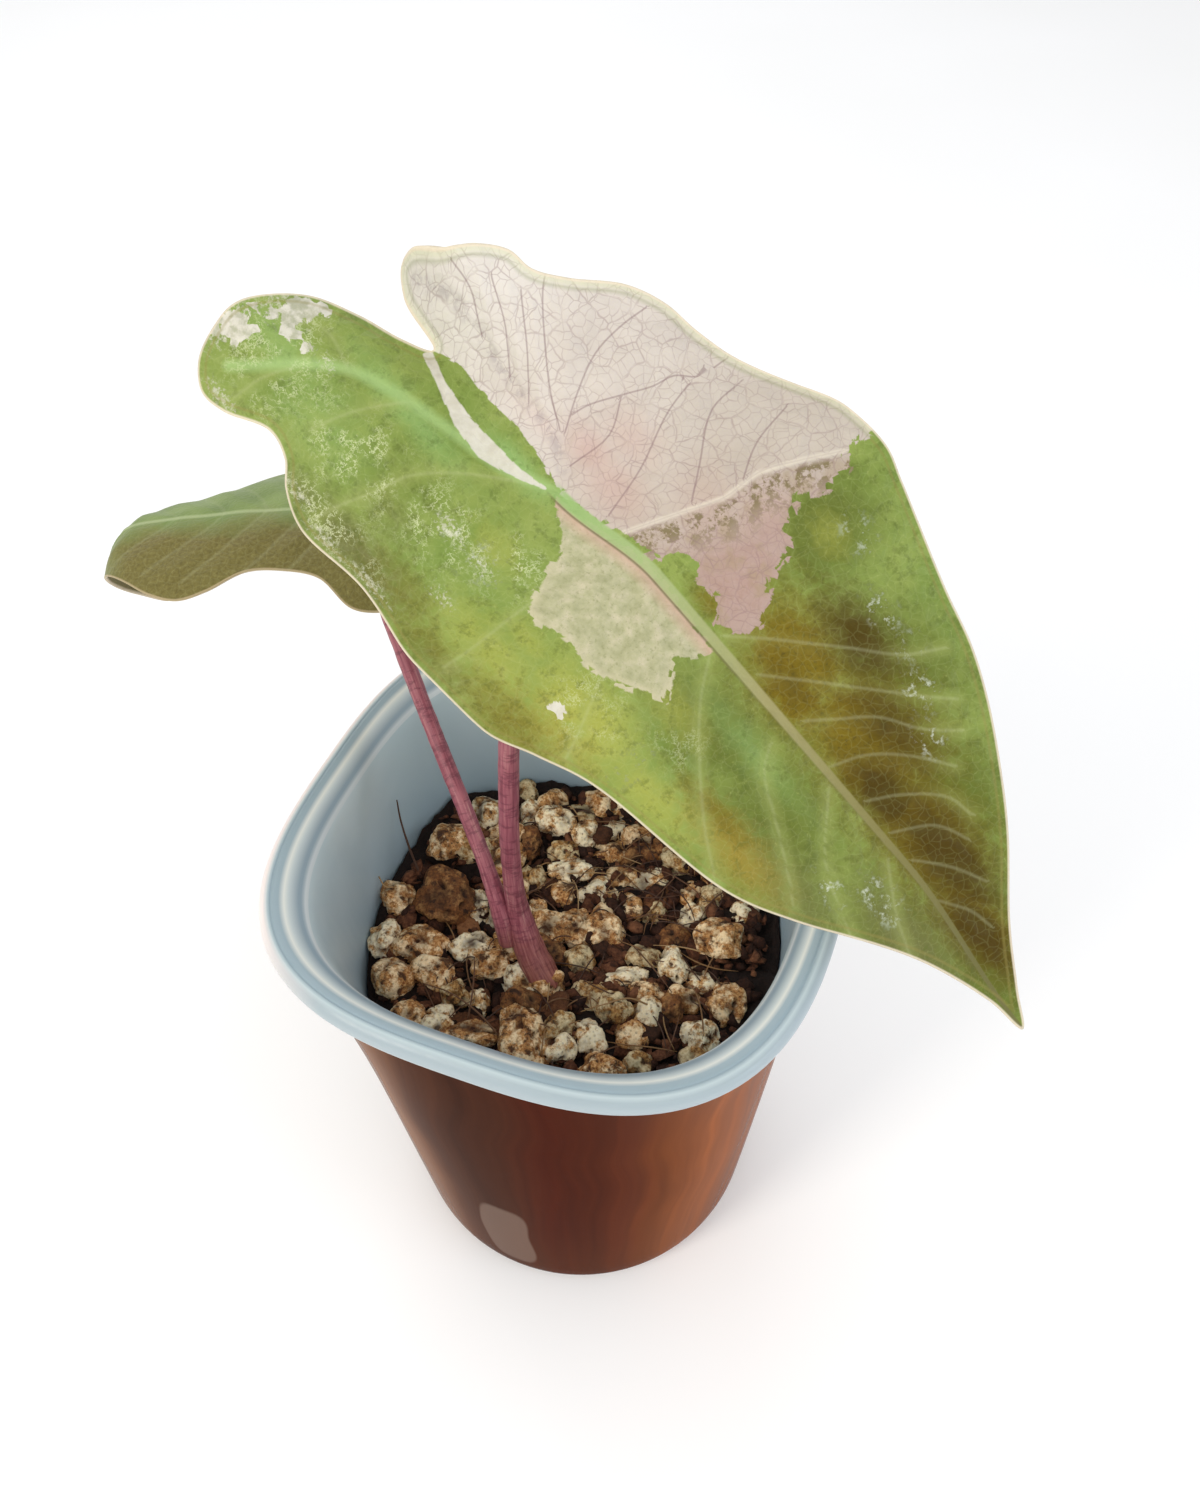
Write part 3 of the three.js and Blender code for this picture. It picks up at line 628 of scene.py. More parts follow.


# Pumice
# Lumps of porous volcanic grit, 3 to 9 mm, cream to tan, stained brown by the damp mix. The
# ones that can be seen are placed one by one, and the rest lie in loose rows in the gaps between.
FILLER_SPACING = 5.2
FILLER_RADIUS = (2.4, 3.2)
FILLER_ROWS = 7
ROW_SHARE = 0.87  # the rows' spacing, as a share of that within a row
FILLER_JITTER = 0.4
CLOSENESS = 0.62  # how near a filler may lie to a placed lump, as a share of their sizes
SHADE_DEPTH = 1.3  # how much deeper the gap fillers lie in the part under the leaf
VIEW_TURN = 0.365  # radians from +X to the lumps' own across direction
STONES = [
    # x, y, half width across, half width along, kind
    (-24.5, 7.5, 3, 3, "tan"), (-21, -1, 4.5, 4, "wood"), (-28, -3.5, 2.5, 2.5, "tan"),
    (-21.5, -9.5, 3.5, 3, "tan"), (-27, -10.5, 2, 3, "cream"), (-22.5, -16, 3, 3, "tan"),
    (-13.5, -7, 3, 2.5, "cream"), (-13, -15.5, 2, 2, "grey"), (-9, -15, 1.5, 2, "cream"),
    (-8, -21, 4.5, 2.5, "tan"), (-17.5, -21.5, 2.5, 2.5, "tan"), (-13.5, -19, 2, 1.5, "cream"),
    (-1, -18.5, 3, 4.5, "tan"), (3.5, -15.5, 2, 2, "grey"), (8, -15.5, 2.5, 3, "cream"),
    (-16, 0.5, 1.5, 3, "cream"), (-21, 15.5, 3, 3, "cream"), (-18, 24, 2, 2, "grey"),
    (-15.5, 19, 2, 2.5, "cream"), (-10, 8, 2, 2.5, "grey"), (-7.5, 3, 1.5, 1.5, "tan"),
    (-10.5, 19, 3, 2.5, "cream"), (-4.5, 11.5, 3.5, 2, "cream"), (-4.5, 7, 2, 2, "tan"),
    (-5.5, 19, 2, 2.5, "cream"), (-0.5, 1.5, 2.5, 3, "tan"), (4, 3, 2.5, 3.5, "tan"),
    (21, 6.5, 3.5, 3, "tan"), (15.5, 0, 2, 3, "cream"), (25, -3.5, 2.5, 3.5, "tan"),
    (23, -10, 2.5, 2.5, "cream"), (9.5, -4.5, 3, 1.5, "cream"), (13.5, -5.5, 2.5, 1.5, "tan"),
    (17.5, -7, 2, 2, "wood"), (14, -13, 2.5, 2.5, "tan"), (10, -9.5, 2.5, 2.5, "grey"),
    (11.5, -20, 3, 2.5, "tan"), (16, -17, 2, 2, "grey"),
]
FILLER_KINDS = ["tan", "grey", "cream", "tan", "wood", "grey", "tan", "cream"]
STONE_GRAINS = [(1.1, 0.42), (0.5, 0.12), (0.22, 0.045), (0.09, 0.03)]
PIT_DEPTH = 0.9
PIT_START = 0.28
NEXT_PATTERN = 3.7  # the step through the noise that makes each lump different


def rough_stone(shape, x, y, across, along, draw, number, sunk=0):
    """One lump: a ball made blockier, then knobbly and pitted, turned and set in the mix. Its
    tone for each point is how far that stands out."""
    ball_points, faces = shape
    turn = turn_matrix(FULL_TURN * next(draw), 0, 0)
    turn = turn_matrix(0, FULL_TURN * next(draw), 0) @ turn
    thick = min(across, along) * (0.75 + 0.3 * next(draw))
    blocky = ball_points / (np.abs(ball_points) ** 4).sum(1)[:, None] ** 0.25
    points = (0.75 * ball_points + 0.25 * blocky) * 1.04
    apart = NEXT_PATTERN * number
    rough = np.array([roughness_at(p[0] + apart, p[1], p[2], STONE_GRAINS) for p in points])
    pits = np.array([noise.noise(Vector((p[0] + apart, p[1], p[2])) * 2.1) for p in points])
    rough -= PIT_DEPTH * np.maximum(pits - PIT_START, 0)
    points = (points * (1 + rough)[:, None]) @ turn.T * [across, along, thick]
    points = points @ turn_matrix(0, 0, VIEW_TURN).T
    return points + [x, y, mix_height(x, y) + 0.3 * thick - sunk], faces, rough


fine_ball, coarse_ball = ball(5), ball(4)
draw = seeded_draws(20)
stones = [
    (*rough_stone(fine_ball, x, y, across, along, draw, number), kind)
    for number, (x, y, across, along, kind) in enumerate(STONES)
]
for row in range(-FILLER_ROWS, FILLER_ROWS + 1):
    for column in range(-FILLER_ROWS, FILLER_ROWS + 1):
        x = (column + abs(row) % 2 / 2 + FILLER_JITTER * (next(draw) - 0.5)) * FILLER_SPACING
        y = (row + FILLER_JITTER * (next(draw) - 0.5)) * FILLER_SPACING * ROW_SHARE
        radius = FILLER_RADIUS[0] + (FILLER_RADIUS[1] - FILLER_RADIUS[0]) * next(draw)
        apart = min(
            math.hypot(x - px, y - py) - CLOSENESS * (radius + max(across, along))
            for px, py, across, along, kind in STONES
        )
        if inside_mouth(x, y, radius + 0.9, MIX_LEVEL) and apart > 0:
            number = len(stones)
            sunk = SHADE_DEPTH * smooth_step(-8, 6, x + 0.6 * y)
            stone = rough_stone(coarse_ball, x, y, radius, 0.9 * radius, draw, number, sunk)
            stones.append((*stone, FILLER_KINDS[number % len(FILLER_KINDS)]))


def pumice(name, ground, crust, stain_and_shade, crust_share):
    """Pumice: a glassy froth, matt and full of pits. Its crust is stained in patches, with
    dark specks where the damp mix has got into the pores. Its sunken pits and pores are also
    darkened: painted shade, with some stain from the mix in the pores."""
    material, add, sockets = start_material(name, Roughness=0.8, Specular_IOR_Level=0.35)
    millimetres = place_in_mm(add)
    rise = add("Attribute", attribute_name="tone", output="Fac")
    patches = add("TexNoise", {"Vector": millimetres, "Scale": 0.5, "Detail": 6,
                               "Roughness": 0.68})
    edge = 0.5 + 0.35 * (0.5 - crust_share)
    crusted = add("MapRange", [patches, edge - 0.05, edge + 0.05, 0, 1])
    fine = add("TexNoise", {"Vector": millimetres, "Scale": 2.2, "Detail": 4, "Roughness": 0.7})
    pale = add("ValToRGB", [fine], stops=ground)
    brown = add("ValToRGB", [fine], stops=crust)
    pores = add("TexVoronoi", {"Vector": millimetres, "Scale": 1.5, "Randomness": 1})
    pore = add("MapRange", [pores, 0.34, 0.2, 0, 1])
    speck = add("TexNoise", {"Vector": millimetres, "Scale": 0.55, "Detail": 5, "Roughness": 0.68})
    stained = add("Math", [crusted, 0.8, 0.12], operation="MULTIPLY_ADD")
    # painted shade in the sunken pits, and shade with stain in the pores
    painted_pit_shade = add("MapRange", [rise, -0.02, -0.3, 0, 0.9])
    pit_shade_and_pore_stain = add("Math", [painted_pit_shade, add("Math", [pore, 0.28], operation="MULTIPLY")],
                 operation="MAXIMUM")
    tone = paint_over(add, pale, [
        (brown, crusted),
        (stain_and_shade, (speck, 0.54, 0.59, 0, 1), stained),
        # the pits and pores darkened: painted shade, with some stain
        (stain_and_shade, pit_shade_and_pore_stain),
    ])
    height = add("Math", [fine, pore], operation="SUBTRACT")
    relief = add("Bump", {"Height": height, "Distance": 0.00015, "Strength": 0.7})
    join_nodes(sockets, Base_Color=tone, Normal=relief)
    return material


PUMICE_KINDS = {
    "tan": pumice(
        "tan_pumice", [(0.35, "ecc998"), (0.65, "ffe8c2")],
        [(0.35, "7c4824"), (0.5, "b57f49"), (0.65, "e6b97f")], "381b0c", 0.6,
    ),
    "cream": pumice(
        "cream_pumice", [(0.35, "f2deb2"), (0.65, "fff3da")],
        [(0.35, "7e4c24"), (0.5, "bd8a52"), (0.65, "f2d09a")], "3c1e0d", 0.45,
    ),
    "grey": pumice(
        "grey_pumice", [(0.35, "c0a77c"), (0.65, "e6d4ac")],
        [(0.35, "643f1d"), (0.5, "996d3a"), (0.65, "c79d63")], "2e190c", 0.5,
    ),
    "wood": pumice(
        "rusty_pumice", [(0.35, "7a5230"), (0.65, "b58450")],
        [(0.3, "4e2f1b"), (0.5, "744724"), (0.7, "9c6636")], "2c180e", 0.6,
    ),
}
for kind, material in PUMICE_KINDS.items():
    chosen = [stone[:3] for stone in stones if stone[3] == kind]
    piece = gather(kind + "_pumice_lumps", chosen, material)
    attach(piece, "root")
    if kind == "tan":
        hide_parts("pumice_grit")


# Root hairs and fibres
# Stray coir fibres and a few dry root hairs, thin and springy, lying over the grit. One
# stands up against the liner at the back left.
FIBRE_COUNT = 150
FIBRE_REACH = 26
# the ones that stand out, each by its places, its thickness at the end and its tone
PLACED_FIBRES = [
    ([(-30.5, 5, 76), (-30, 4.2, 72), (-28.2, 2.6, 67), (-26, 1, 63)], 0.22, 0.1),
    ([(-31, -3, 66.5), (-29.5, -4, 66), (-28.6, -3.2, 65), (-27, -3.6, 64)], 0.2, 0.85),
    ([(-17, -17, 65), (-12, -17.6, 66), (-7, -19, 65.4), (-3, -20.5, 63)], 0.16, 0.45),
    ([(-12, -10, 64), (-10.5, -13, 65.5), (-9.5, -16, 65), (-9, -19, 63)], 0.15, 0.4),
    ([(6, -13, 64), (9, -12, 66), (12, -9.5, 65.5), (15, -8.5, 63.5)], 0.16, 0.8),
    ([(18, -3, 64.5), (21, -6, 66), (23, -9.5, 65), (24, -13, 63)], 0.15, 0.6),
]


def smooth_route(points, samples, closed=False):
    """Points along a centripetal Catmull-Rom curve through given points."""
    points = np.array(points, float)
    if closed:
        padded = np.vstack([points[-1:], points, points[:2]])
    else:
        first, last = 2 * points[0] - points[1], 2 * points[-1] - points[-2]
        padded = np.vstack([first, points, last])
    shares = np.arange(samples)[:, None] / samples
    route = []
    for p0, p1, p2, p3 in zip(padded, padded[1:], padded[2:], padded[3:]):
        gap0, gap1, gap2 = (np.linalg.norm(b - a) ** 0.5 for a, b in ((p0, p1), (p1, p2), (p2, p3)))
        leave = ((p1 - p0) / gap0 - (p2 - p0) / (gap0 + gap1)) * gap1 + (p2 - p1)
        arrive = (p2 - p1) + ((p3 - p2) / gap2 - (p3 - p1) / (gap1 + gap2)) * gap1
        bend = -3 * p1 + 3 * p2 - 2 * leave - arrive
        twist = 2 * p1 - 2 * p2 + leave + arrive
        route.append(p1 + shares * leave + shares**2 * bend + shares**3 * twist)
    return np.vstack(route if closed else [*route, points[-1:]])


def tube_along(route, radii, sides):
    """A closed tube round a route: its points, its faces, and each point's place on its skin
    as two coordinates across and the length along."""
    steps = np.gradient(route, axis=0)
    steps /= np.linalg.norm(steps, axis=1)[:, None]
    normal = np.cross(steps[0], [0.3, 0.9, 0.1])
    turns = np.arange(sides) / sides * 2 * np.pi
    around = np.stack([np.cos(turns), np.sin(turns)], 1)
    lengths = np.concatenate([[0], np.cumsum(np.linalg.norm(np.diff(route, axis=0), axis=1))])
    points, skin = [], []
    for centre, step, radius, length in zip(route, steps, radii, lengths):
        normal = normal - np.dot(normal, step) * step
        normal /= np.linalg.norm(normal)
        aside = np.cross(step, normal)
        points.append(centre + radius * around @ np.stack([normal, aside]))
        skin.append(np.column_stack([radius * around, np.full(sides, length)]))
    faces = []
    for ring in range(len(route) - 1):
        low = ring * sides
        for k in range(sides):
            near, far = low + k, low + (k + 1) % sides
            faces.append([near, far, far + sides, near + sides])
    faces.append(list(range(sides))[::-1])
    faces.append(list(range((len(route) - 1) * sides, len(route) * sides)))
    return np.vstack(points), faces, np.vstack(skin)


def dry_fibre():
    """Dry coir: hard and springy, straw brown, darker towards some ends."""
    material, add, sockets = start_material("dry_coir_fibre", Roughness=0.55)
    own = add("Attribute", attribute_name="tone", output="Fac")
    tones = [(0.0, "3a2116"), (0.4, "623f27"), (0.75, "8d683f"), (1.0, "b8966a")]
    join_nodes(sockets, Base_Color=add("ValToRGB", [own], stops=tones))
    return material


fibres = []
for route, radius, tone in PLACED_FIBRES:
    line = smooth_route(route, 8)
    points, faces, skin = tube_along(line, radius * np.linspace(0.5, 1, len(line)), 6)
    fibres.append((points, faces, tone))
draw = seeded_draws(53)
while len(fibres) < FIBRE_COUNT:
    x, y = ((2 * next(draw) - 1) * FIBRE_REACH for axis in range(2))
    heading, length = FULL_TURN * next(draw), 3 + 9 * next(draw) ** 2
    bend = 1.1 * (next(draw) - 0.5)
    rise, tone = 0.2 + 1.4 * next(draw), next(draw) ** 1.5
    if not inside_mouth(x, y, 8, MIX_LEVEL):
        continue
    places = []
    for share in (0, 0.33, 0.66, 1):
        turned = heading + bend * share
        px = x + length * (share - 0.5) * math.cos(turned)
        py = y + length * (share - 0.5) * math.sin(turned)
        places.append((px, py, mix_height(px, py) + 1.2 + rise * math.sin(math.pi * share)))
    line = smooth_route(places, 3)
    radii = 0.05 + 0.06 * np.sin(np.linspace(0, math.pi, len(line)))
    points, faces, skin = tube_along(line, radii, 4)
    fibres.append((points, faces, tone))
stray_fibres = gather("stray_coir_fibres", fibres, dry_fibre())
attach(stray_fibres, "root")


# Main leaf
# One arrow-shaped blade, held nearly flat by its stalk. The cells of its right rear quarter
# have no green, so that side is cream, with dark veins; older green parts turn gold and brown.
MAIN_JOINT = Vector((-2.3, 6.2, 138))
MAIN_LENGTH = 84
BLADE = 0.5
RIM_THICKNESS = 0.34
RIB_DEPTH = 1.0
LEAF_SAMPLES = 12
TOP_RINGS = 118
UNDER_RINGS = 36
LAST_RING = 0.996  # the ring beside the rim, as a share of the way out to it
VEIN_SAMPLES = 5
# the outline, as places along the midrib from the stalk and out from it, in mm
MAIN_OUTLINE = [
    (84, 0), (79, 2.5), (71, 6.2), (62, 11.6), (49.5, 18.5), (43, 21.2), (36, 23), (24, 26.8),
    (20, 28), (14, 27.4), (8, 25.3), (-2.5, 22.5), (-7, 21.7), (-11, 19.7), (-15.3, 15.4),
    (-18.3, 13.1), (-21, 12.5), (-23.6, 10.2), (-25.6, 7.2), (-28.8, 4.7), (-29.4, 2.8),
    (-27.5, 1), (-21.2, 0), (-24.4, -1.7), (-29.4, -3.5), (-34.4, -6.4), (-38.1, -12.7),
    (-37.9, -16.2), (-36.5, -20), (-33.8, -22.1), (-30.7, -21.7), (-25.6, -19.2), (-22.4, -20),
    (-20, -22.2), (-15.7, -24), (-6.3, -23.2), (4.2, -25), (13.9, -26.2), (20.3, -23.5),
    (26.8, -20.9), (46.3, -17.7), (54.3, -14), (69.2, -4.8), (78.5, -1),
]
# the veins, each from the midrib or a rib towards the margin, as places on the flat blade
GREEN_RIB = [(0, 0), (-7.1, -3), (-13.8, -4.5), (-20.2, -6.3), (-24.7, -8.2), (-28.2, -11.4),
             (-31.3, -15.2), (-33.6, -17.8)]
PALE_RIB = [(-1.5, 2.1), (-4.3, 3.4), (-9.1, 3.9), (-13.7, 4), (-19.4, 4.7), (-22.6, 4.9),
            (-27, 3.1)]
BRIGHT_VEIN = [(8, 2.4), (10.3, 7.9), (12.5, 13.1), (12.9, 17.6), (14.9, 21.9), (17.2, 26.1)]
GREEN_VEINS = [
    [(-2.9, -1.7), (-8.5, -6.6), (-11.9, -11.1), (-13.1, -15), (-14.6, -18.9), (-15.5, -22)],
    [(2.7, -0.6), (6, -1.8), (6.8, -4.8), (7.1, -8.7), (6.8, -13.5), (6.5, -18.5), (6, -22)],
    [(11, 0.9), (14.5, -3), (17.6, -8.5), (20.5, -14), (22.5, -18.5)],
    [(24, 1.6), (27.5, -3), (32.5, -7.5), (39, -12.3), (44.2, -15.2)],
    [(36.6, -0.5), (38.5, -3), (43.9, -5.8), (50.6, -9.3), (52.7, -10.7)],
    [(44.9, 1.3), (51.5, -4.7), (59.9, -7.9)],
    [(56, 1), (62, -2.5), (67.5, -4.5)],
    [(23.9, 3.5), (28.3, 7.8), (34, 13), (38.4, 16.9), (41, 21)],
    [(29.8, 3.6), (33.8, 7.2), (38.6, 11.4), (43.4, 15.6), (46.3, 18.4)],
    [(37.1, 4.1), (39.2, 6.8), (42.1, 10.5), (46.2, 13.2), (49.5, 16.6)],
    [(43.2, 3.1), (44.6, 6.6), (47.9, 10.4), (52.3, 13.6)],
    [(49, 3.6), (50.9, 7), (54.6, 10.7), (58.1, 11.5)],
    [(53.8, 3.4), (56.4, 7.7), (60.1, 9.4)],
    [(58, 3.1), (61.6, 6), (65.5, 7.9)],
    [(64, 2.4), (67.5, 4.4), (70.5, 5)],
    [(-18, -5.7), (-20.8, -10.5), (-22.6, -15.5)],
    [(-24.7, -8.2), (-29.5, -7.2), (-33, -8.6)],
    [(-28.2, -11.4), (-30.2, -16), (-30.8, -19.6)],
]
PALE_VEINS = [
    [(-4.7, 4.5), (-8.1, 6.3), (-11.3, 8.6), (-15.9, 12.4), (-17.6, 14.6)],
    [(-4.1, 4.7), (-6, 8.1), (-7.9, 12.6), (-8.2, 16.5), (-7.9, 19.8)],
    [(-5, 6.2), (-4.5, 8.5), (-2.9, 11.9), (-1.4, 15), (-0.7, 17.5), (1, 19.3), (1.6, 23)],
    [(-1.1, 2.9), (-0.7, 8.2), (-2.9, 11.9)],
    [(5.6, 2.6), (4.2, 8.4), (1.6, 14.8), (0.7, 20.4)],
    [(10.5, 10.2), (8.1, 13.4), (4.6, 18.2), (4.4, 22.6)],
    [(12.6, 15.5), (10.4, 19.5), (9.6, 24.5)],
    [(-12.5, 4.1), (-16, 7), (-20.4, 9.4)],
    [(-17.5, 4.5), (-21.4, 6.9), (-24.4, 7.2)],
    [(-9.1, 3.9), (-13, 7.4), (-17.5, 10.8)],
]
# the edges of the parts without green, as places on the flat blade
CREAM_PART = [
    (17.6, 26.4), (18.8, 25.2), (19.1, 22), (17.5, 18.8), (18.6, 17.3), (19.6, 15.8),
    (21.6, 14.7), (22.4, 11.4), (24, 9.1), (25.5, 7.3), (24.5, 4.8), (22, 3.1), (21.5, 5),
    (20, 5.6), (17.7, 5.5), (15.9, 6.2), (14, 5.4), (13.1, 3.7), (10.6, 2.9), (8, 2.2),
    (4, 1.3), (-0.5, 0.3), (-3, 0.9), (-7.7, 1.4), (-12.4, 1.1), (-17.6, 1.1), (-20.9, -0.1),
    (-30, -1), (-34, 4), (-26, 18), (-8, 28), (10, 34), (18, 34),
]
BEIGE_PART = [
    (0.4, -0.4), (1.7, -1.8), (3.5, -2.5), (5, -4.1), (6.1, -7.8), (7.3, -10.5), (9.2, -11.2),
    (11.1, -10.4), (13.3, -9.9), (16.2, -10.1), (18.5, -9.6), (20.8, -8.5), (23.3, -7),
    (25.1, -6.1), (23.5, -4.1), (22.2, -2.3), (23.3, -0.8), (24.5, 1.6), (16.5, 2.2), (7.7, 1.4),
]
CREAM_FLECKS = [
    [(-21.4, -1), (-21, -0.3), (-17.1, -1.6), (-12.2, -2), (-7.5, -1.7), (-4.5, -1.5),
     (-1.2, -0.7), (-2.8, -1.5), (-5.5, -2.7), (-8.5, -3.7), (-12.7, -3.4), (-16.9, -2.3)],
    [(-38.3, -14.3), (-36.6, -11.7), (-34.3, -13), (-34.6, -15.7), (-36.9, -16.7)],
    [(-35.1, -8.9), (-34.6, -6.9), (-31.5, -6), (-31.6, -9.1), (-31.2, -10.3), (-29.3, -10.3),
     (-31, -10.9), (-33.3, -11)],
    [(17.4, -16.4), (17.7, -15.5), (18.4, -15.9), (18.1, -16.6)],
]
# soft flushes of colour on the green, some of them painted glints and crease highlights,
# each by its middle, its two reaches and its strength
FLUSHES = {
    "deep": [
        (22, 19, 6, 7, 1), (40, 17, 10, 6, 0.85), (54, 12, 11, 6, 1), (31, -4, 10, 6, 0.9),
        (44, -6, 13, 8, 0.8), (64, -3, 12, 6, 0.9), (-12, -12, 6, 5, 0.35), (76, 1, 9, 5, 1),
    ],
    "gold": [
        (31, 8, 9, 6, 1), (43, 8, 11, 7, 1), (56, 6, 11, 5.5, 1), (68, 4, 9, 3.6, 1),
        (34, 5, 8, 4, 1), (46, 5.5, 9, 4, 1), (58, 4.5, 9, 3.5, 0.95),
        (38, -10, 6, 1.5, 0.6), (15, -21, 8, 3, 0.6),
        (20, 4.6, 3, 1.6, 0.7), (2, -21.5, 8, 2.4, 0.4), (-3, -19.5, 6, 3, 0.35),
    ],
    "brown": [
        (34, 14.5, 7, 3.6, 0.9), (44, 11, 8, 3.6, 0.75), (60, 6.5, 11, 4, 1),
        (70, 3.6, 8, 3, 1), (33, 5.5, 5, 2.2, 0.4), (49.5, 5.5, 6, 3.2, 1),
    ],
    "amber": [(43.5, -11.5, 8, 3.2, 0.6), (20, -18, 8, 3, 0.35), (31, 6, 5, 2, 0.4)],
    "yellow": [
        (20, -14, 8, 4.5, 0.8), (32, -14.5, 7, 3, 0.6), (8, -17, 7, 3.5, 0.55),
        (27, -6, 5, 3, 0.4), (23, 19, 3, 2.4, 0.4), (0, -9, 4, 2.5, 0.4), (10, -13, 4, 2, 0.5),
    ],
    "mint": [
        (-31, -12, 7, 2.6, 0.5), (-17, -6.3, 9, 1.7, 0.7), (-5, -1.5, 5, 1.5, 0.9),
        (36, -2.5, 10, 2, 0.4), (-22, -14, 7, 4, 0.35), (12, 1.6, 9, 1, 0.5),
    ],
    "khaki": [
        (66, -3.5, 10, 4, 0.95), (53, -9.5, 9, 4, 0.7), (-10, -20.8, 9, 3, 0.9),
        (-18, -21, 5, 2, 0.6), (5, -22.5, 6, 2, 0.5), (-10, -16, 5, 3, 0.4),
    ],
    "bleached": [
        (-18.7, -21.4, 4, 1.2, 0.5), (-13, -22.6, 4, 1, 0.6), (-6, -22, 4, 0.9, 0.6),
        (-4.6, -11.4, 2.4, 1.3, 0.7), (0.5, -11.5, 2.4, 1.4, 0.5), (0.3, -17, 2.5, 1.2, 0.5),
        (-32, -20.8, 3, 1, 0.7), (-35, -9, 3.5, 3, 0.6), (-26.7, -9.5, 2, 1, 0.5),
        (-37, -15, 2, 4, 0.7),
    ],
    # painted highlights on fine creases
    "crease_highlights": [
        (-17, -14, 7, 4.5, 1), (-5, -12, 6, 4, 1), (3, -9, 4, 4, 0.8), (-30, -13, 6, 6, 0.9),
        (20, -13, 6, 5, 0.5), (-14, -21, 8, 2.5, 0.9), (30, -8, 5, 4, 0.4),
    ],
    # painted glints
    "glossy": [
        (0.5, -11.5, 4, 3, 0.45), (-4.6, -11.4, 2, 1.2, 0.5), (28, -14, 2, 5, 0.4),
        (32.9, 18.1, 2.6, 1.6, 1), (42.7, 15.9, 2.6, 1.8, 1), (47.8, 13.2, 2.4, 1.6, 1),
        (59, -2.7, 4, 2, 1), (54, -6.2, 3, 1.6, 0.9), (25, 21.5, 3, 2, 0.7), (38, 18, 2, 2, 0.6),
    ],
    "pink": [
        (-0.5, 5.5, 4, 2.4, 1), (1.5, 9.5, 4, 3, 0.7), (4, 5, 5, 3, 1), (12, 11, 5, 4, 0.7),
        (-6, 3.6, 5, 1.2, 0.4), (20, 9, 5, 5, 1), (17, 15, 4, 4, 0.8),
    ],
}
# the colours of the first ones, in the order in which they lie over each other
FLUSH_COLOURS = {
    "deep": "5c6626", "yellow": "a0a248", "mint": "85a560", "khaki": "666838",
    "amber": "9a8030", "gold": "6f5c0c", "brown": "443404",
}
COARSE_CELL = 3
FINE_CELL = 1.1
MIDRIB_STRETCH = 80  # the part of the midrib's length over which its colour changes

MAIN_MIDDLE = Vector((0.785, -0.238, -0.572)).normalized()
MAIN_NORMAL = MAIN_MIDDLE.cross(Vector((0.567, 0.647, 0.509))).normalized()
MAIN_SIDEWAYS = MAIN_NORMAL.cross(MAIN_MIDDLE)


def midrib_bow(along):
    return 2.3 * (smooth_step(0, 14, along) - smooth_step(58, MAIN_LENGTH, along))


def from_midrib(places):
    """Turns places on the flat blade into places along and out from its bowed midrib."""
    places = np.array(places, float)
    places[:, 1] -= midrib_bow(places[:, 0])
    return places


def main_surface(along, side):
    """The blade's middle surface: it sags to the tip, has a valley down the midrib, and its
    two rear lobes lift at the sides of the notch between them."""
    rear = np.minimum(along, 0)
    height = -6 * (np.maximum(along, 0) / 80) ** 2 - 0.0045 * rear**2
    height += 0.24 * (np.sqrt(side**2 + 4) - 2) - 0.0088 * side**2
    height += 0.012 * rear**2 * smooth_step(0, 9, side)
    height += 0.0035 * rear**2 * smooth_step(0, -12, side)
    height -= 2 * smooth_step(2, -22, along) * np.exp(-((side / 4) ** 2))
    across = side + midrib_bow(along)
    return (
        np.array(MAIN_JOINT)
        + along[:, None] * np.array(MAIN_MIDDLE)
        + across[:, None] * np.array(MAIN_SIDEWAYS)
        + height[:, None] * np.array(MAIN_NORMAL)
    )


def main_rib(along, side):
    """How far the ribs under the blade stand down."""
    midrib = np.exp(-((side / 1.1) ** 2)) * smooth_step(84, 50, along) * smooth_step(-3, 1, along)
    green_rib = np.exp(-(((side + 0.24 * along) / 1.1) ** 2))
    pale_rib = np.exp(-(((side - 0.31 * along) / 1.1) ** 2))
    ribs = np.maximum(green_rib, pale_rib) * smooth_step(3, -1, along)
    return RIB_DEPTH * midrib + 0.6 * RIB_DEPTH * ribs * smooth_step(-32, -20, along)


def line_distance(along, side, line):
    """The distance of each place from a line of short pieces, and the same with a sign that
    says which side of the line it is on."""
    nearest = np.full(len(along), 1e9)
    signed = np.zeros(len(along))
    for (a0, s0), (a1, s1) in zip(line, line[1:]):
        step_a, step_s = a1 - a0, s1 - s0
        share = ((along - a0) * step_a + (side - s0) * step_s) / (step_a**2 + step_s**2)
        share = np.clip(share, 0, 1)
        off_a, off_s = along - a0 - share * step_a, side - s0 - share * step_s
        distance = np.hypot(off_a, off_s)
        closer = distance < nearest
        turn = np.sign(step_a * off_s - step_s * off_a)
        nearest = np.where(closer, distance, nearest)
        signed = np.where(closer, turn * distance, signed)
    return nearest, signed


def nearest_line(along, side, lines):
    nearest, signed = line_distance(along, side, lines[0])
    for line in lines[1:]:
        distance, with_sign = line_distance(along, side, line)
        signed = np.where(distance < nearest, with_sign, signed)
        nearest = np.minimum(nearest, distance)
    return nearest, signed


def inside_distance(along, side, corners):
    """How far inside a closed outline each place lies; it is negative outside."""
    closed = np.vstack([corners, corners[:1]])
    distance = line_distance(along, side, closed)[0]
    inside = np.zeros(len(along), bool)
    for (a0, s0), (a1, s1) in zip(closed, closed[1:]):
        spans = (s0 > side) != (s1 > side)
        rise = s1 - s0 if s1 != s0 else 1
        inside ^= spans & (along < a0 + (side - s0) * (a1 - a0) / rise)
    return np.where(inside, distance, -distance)


def soft_spots(along, side, spots):
    total = np.zeros(len(along))
    for middle_a, middle_s, reach_a, reach_s, strength in spots:
        away = ((along - middle_a) / reach_a) ** 2 + ((side - middle_s) / reach_s) ** 2
        total = np.maximum(total, strength * np.exp(-away))
    return total


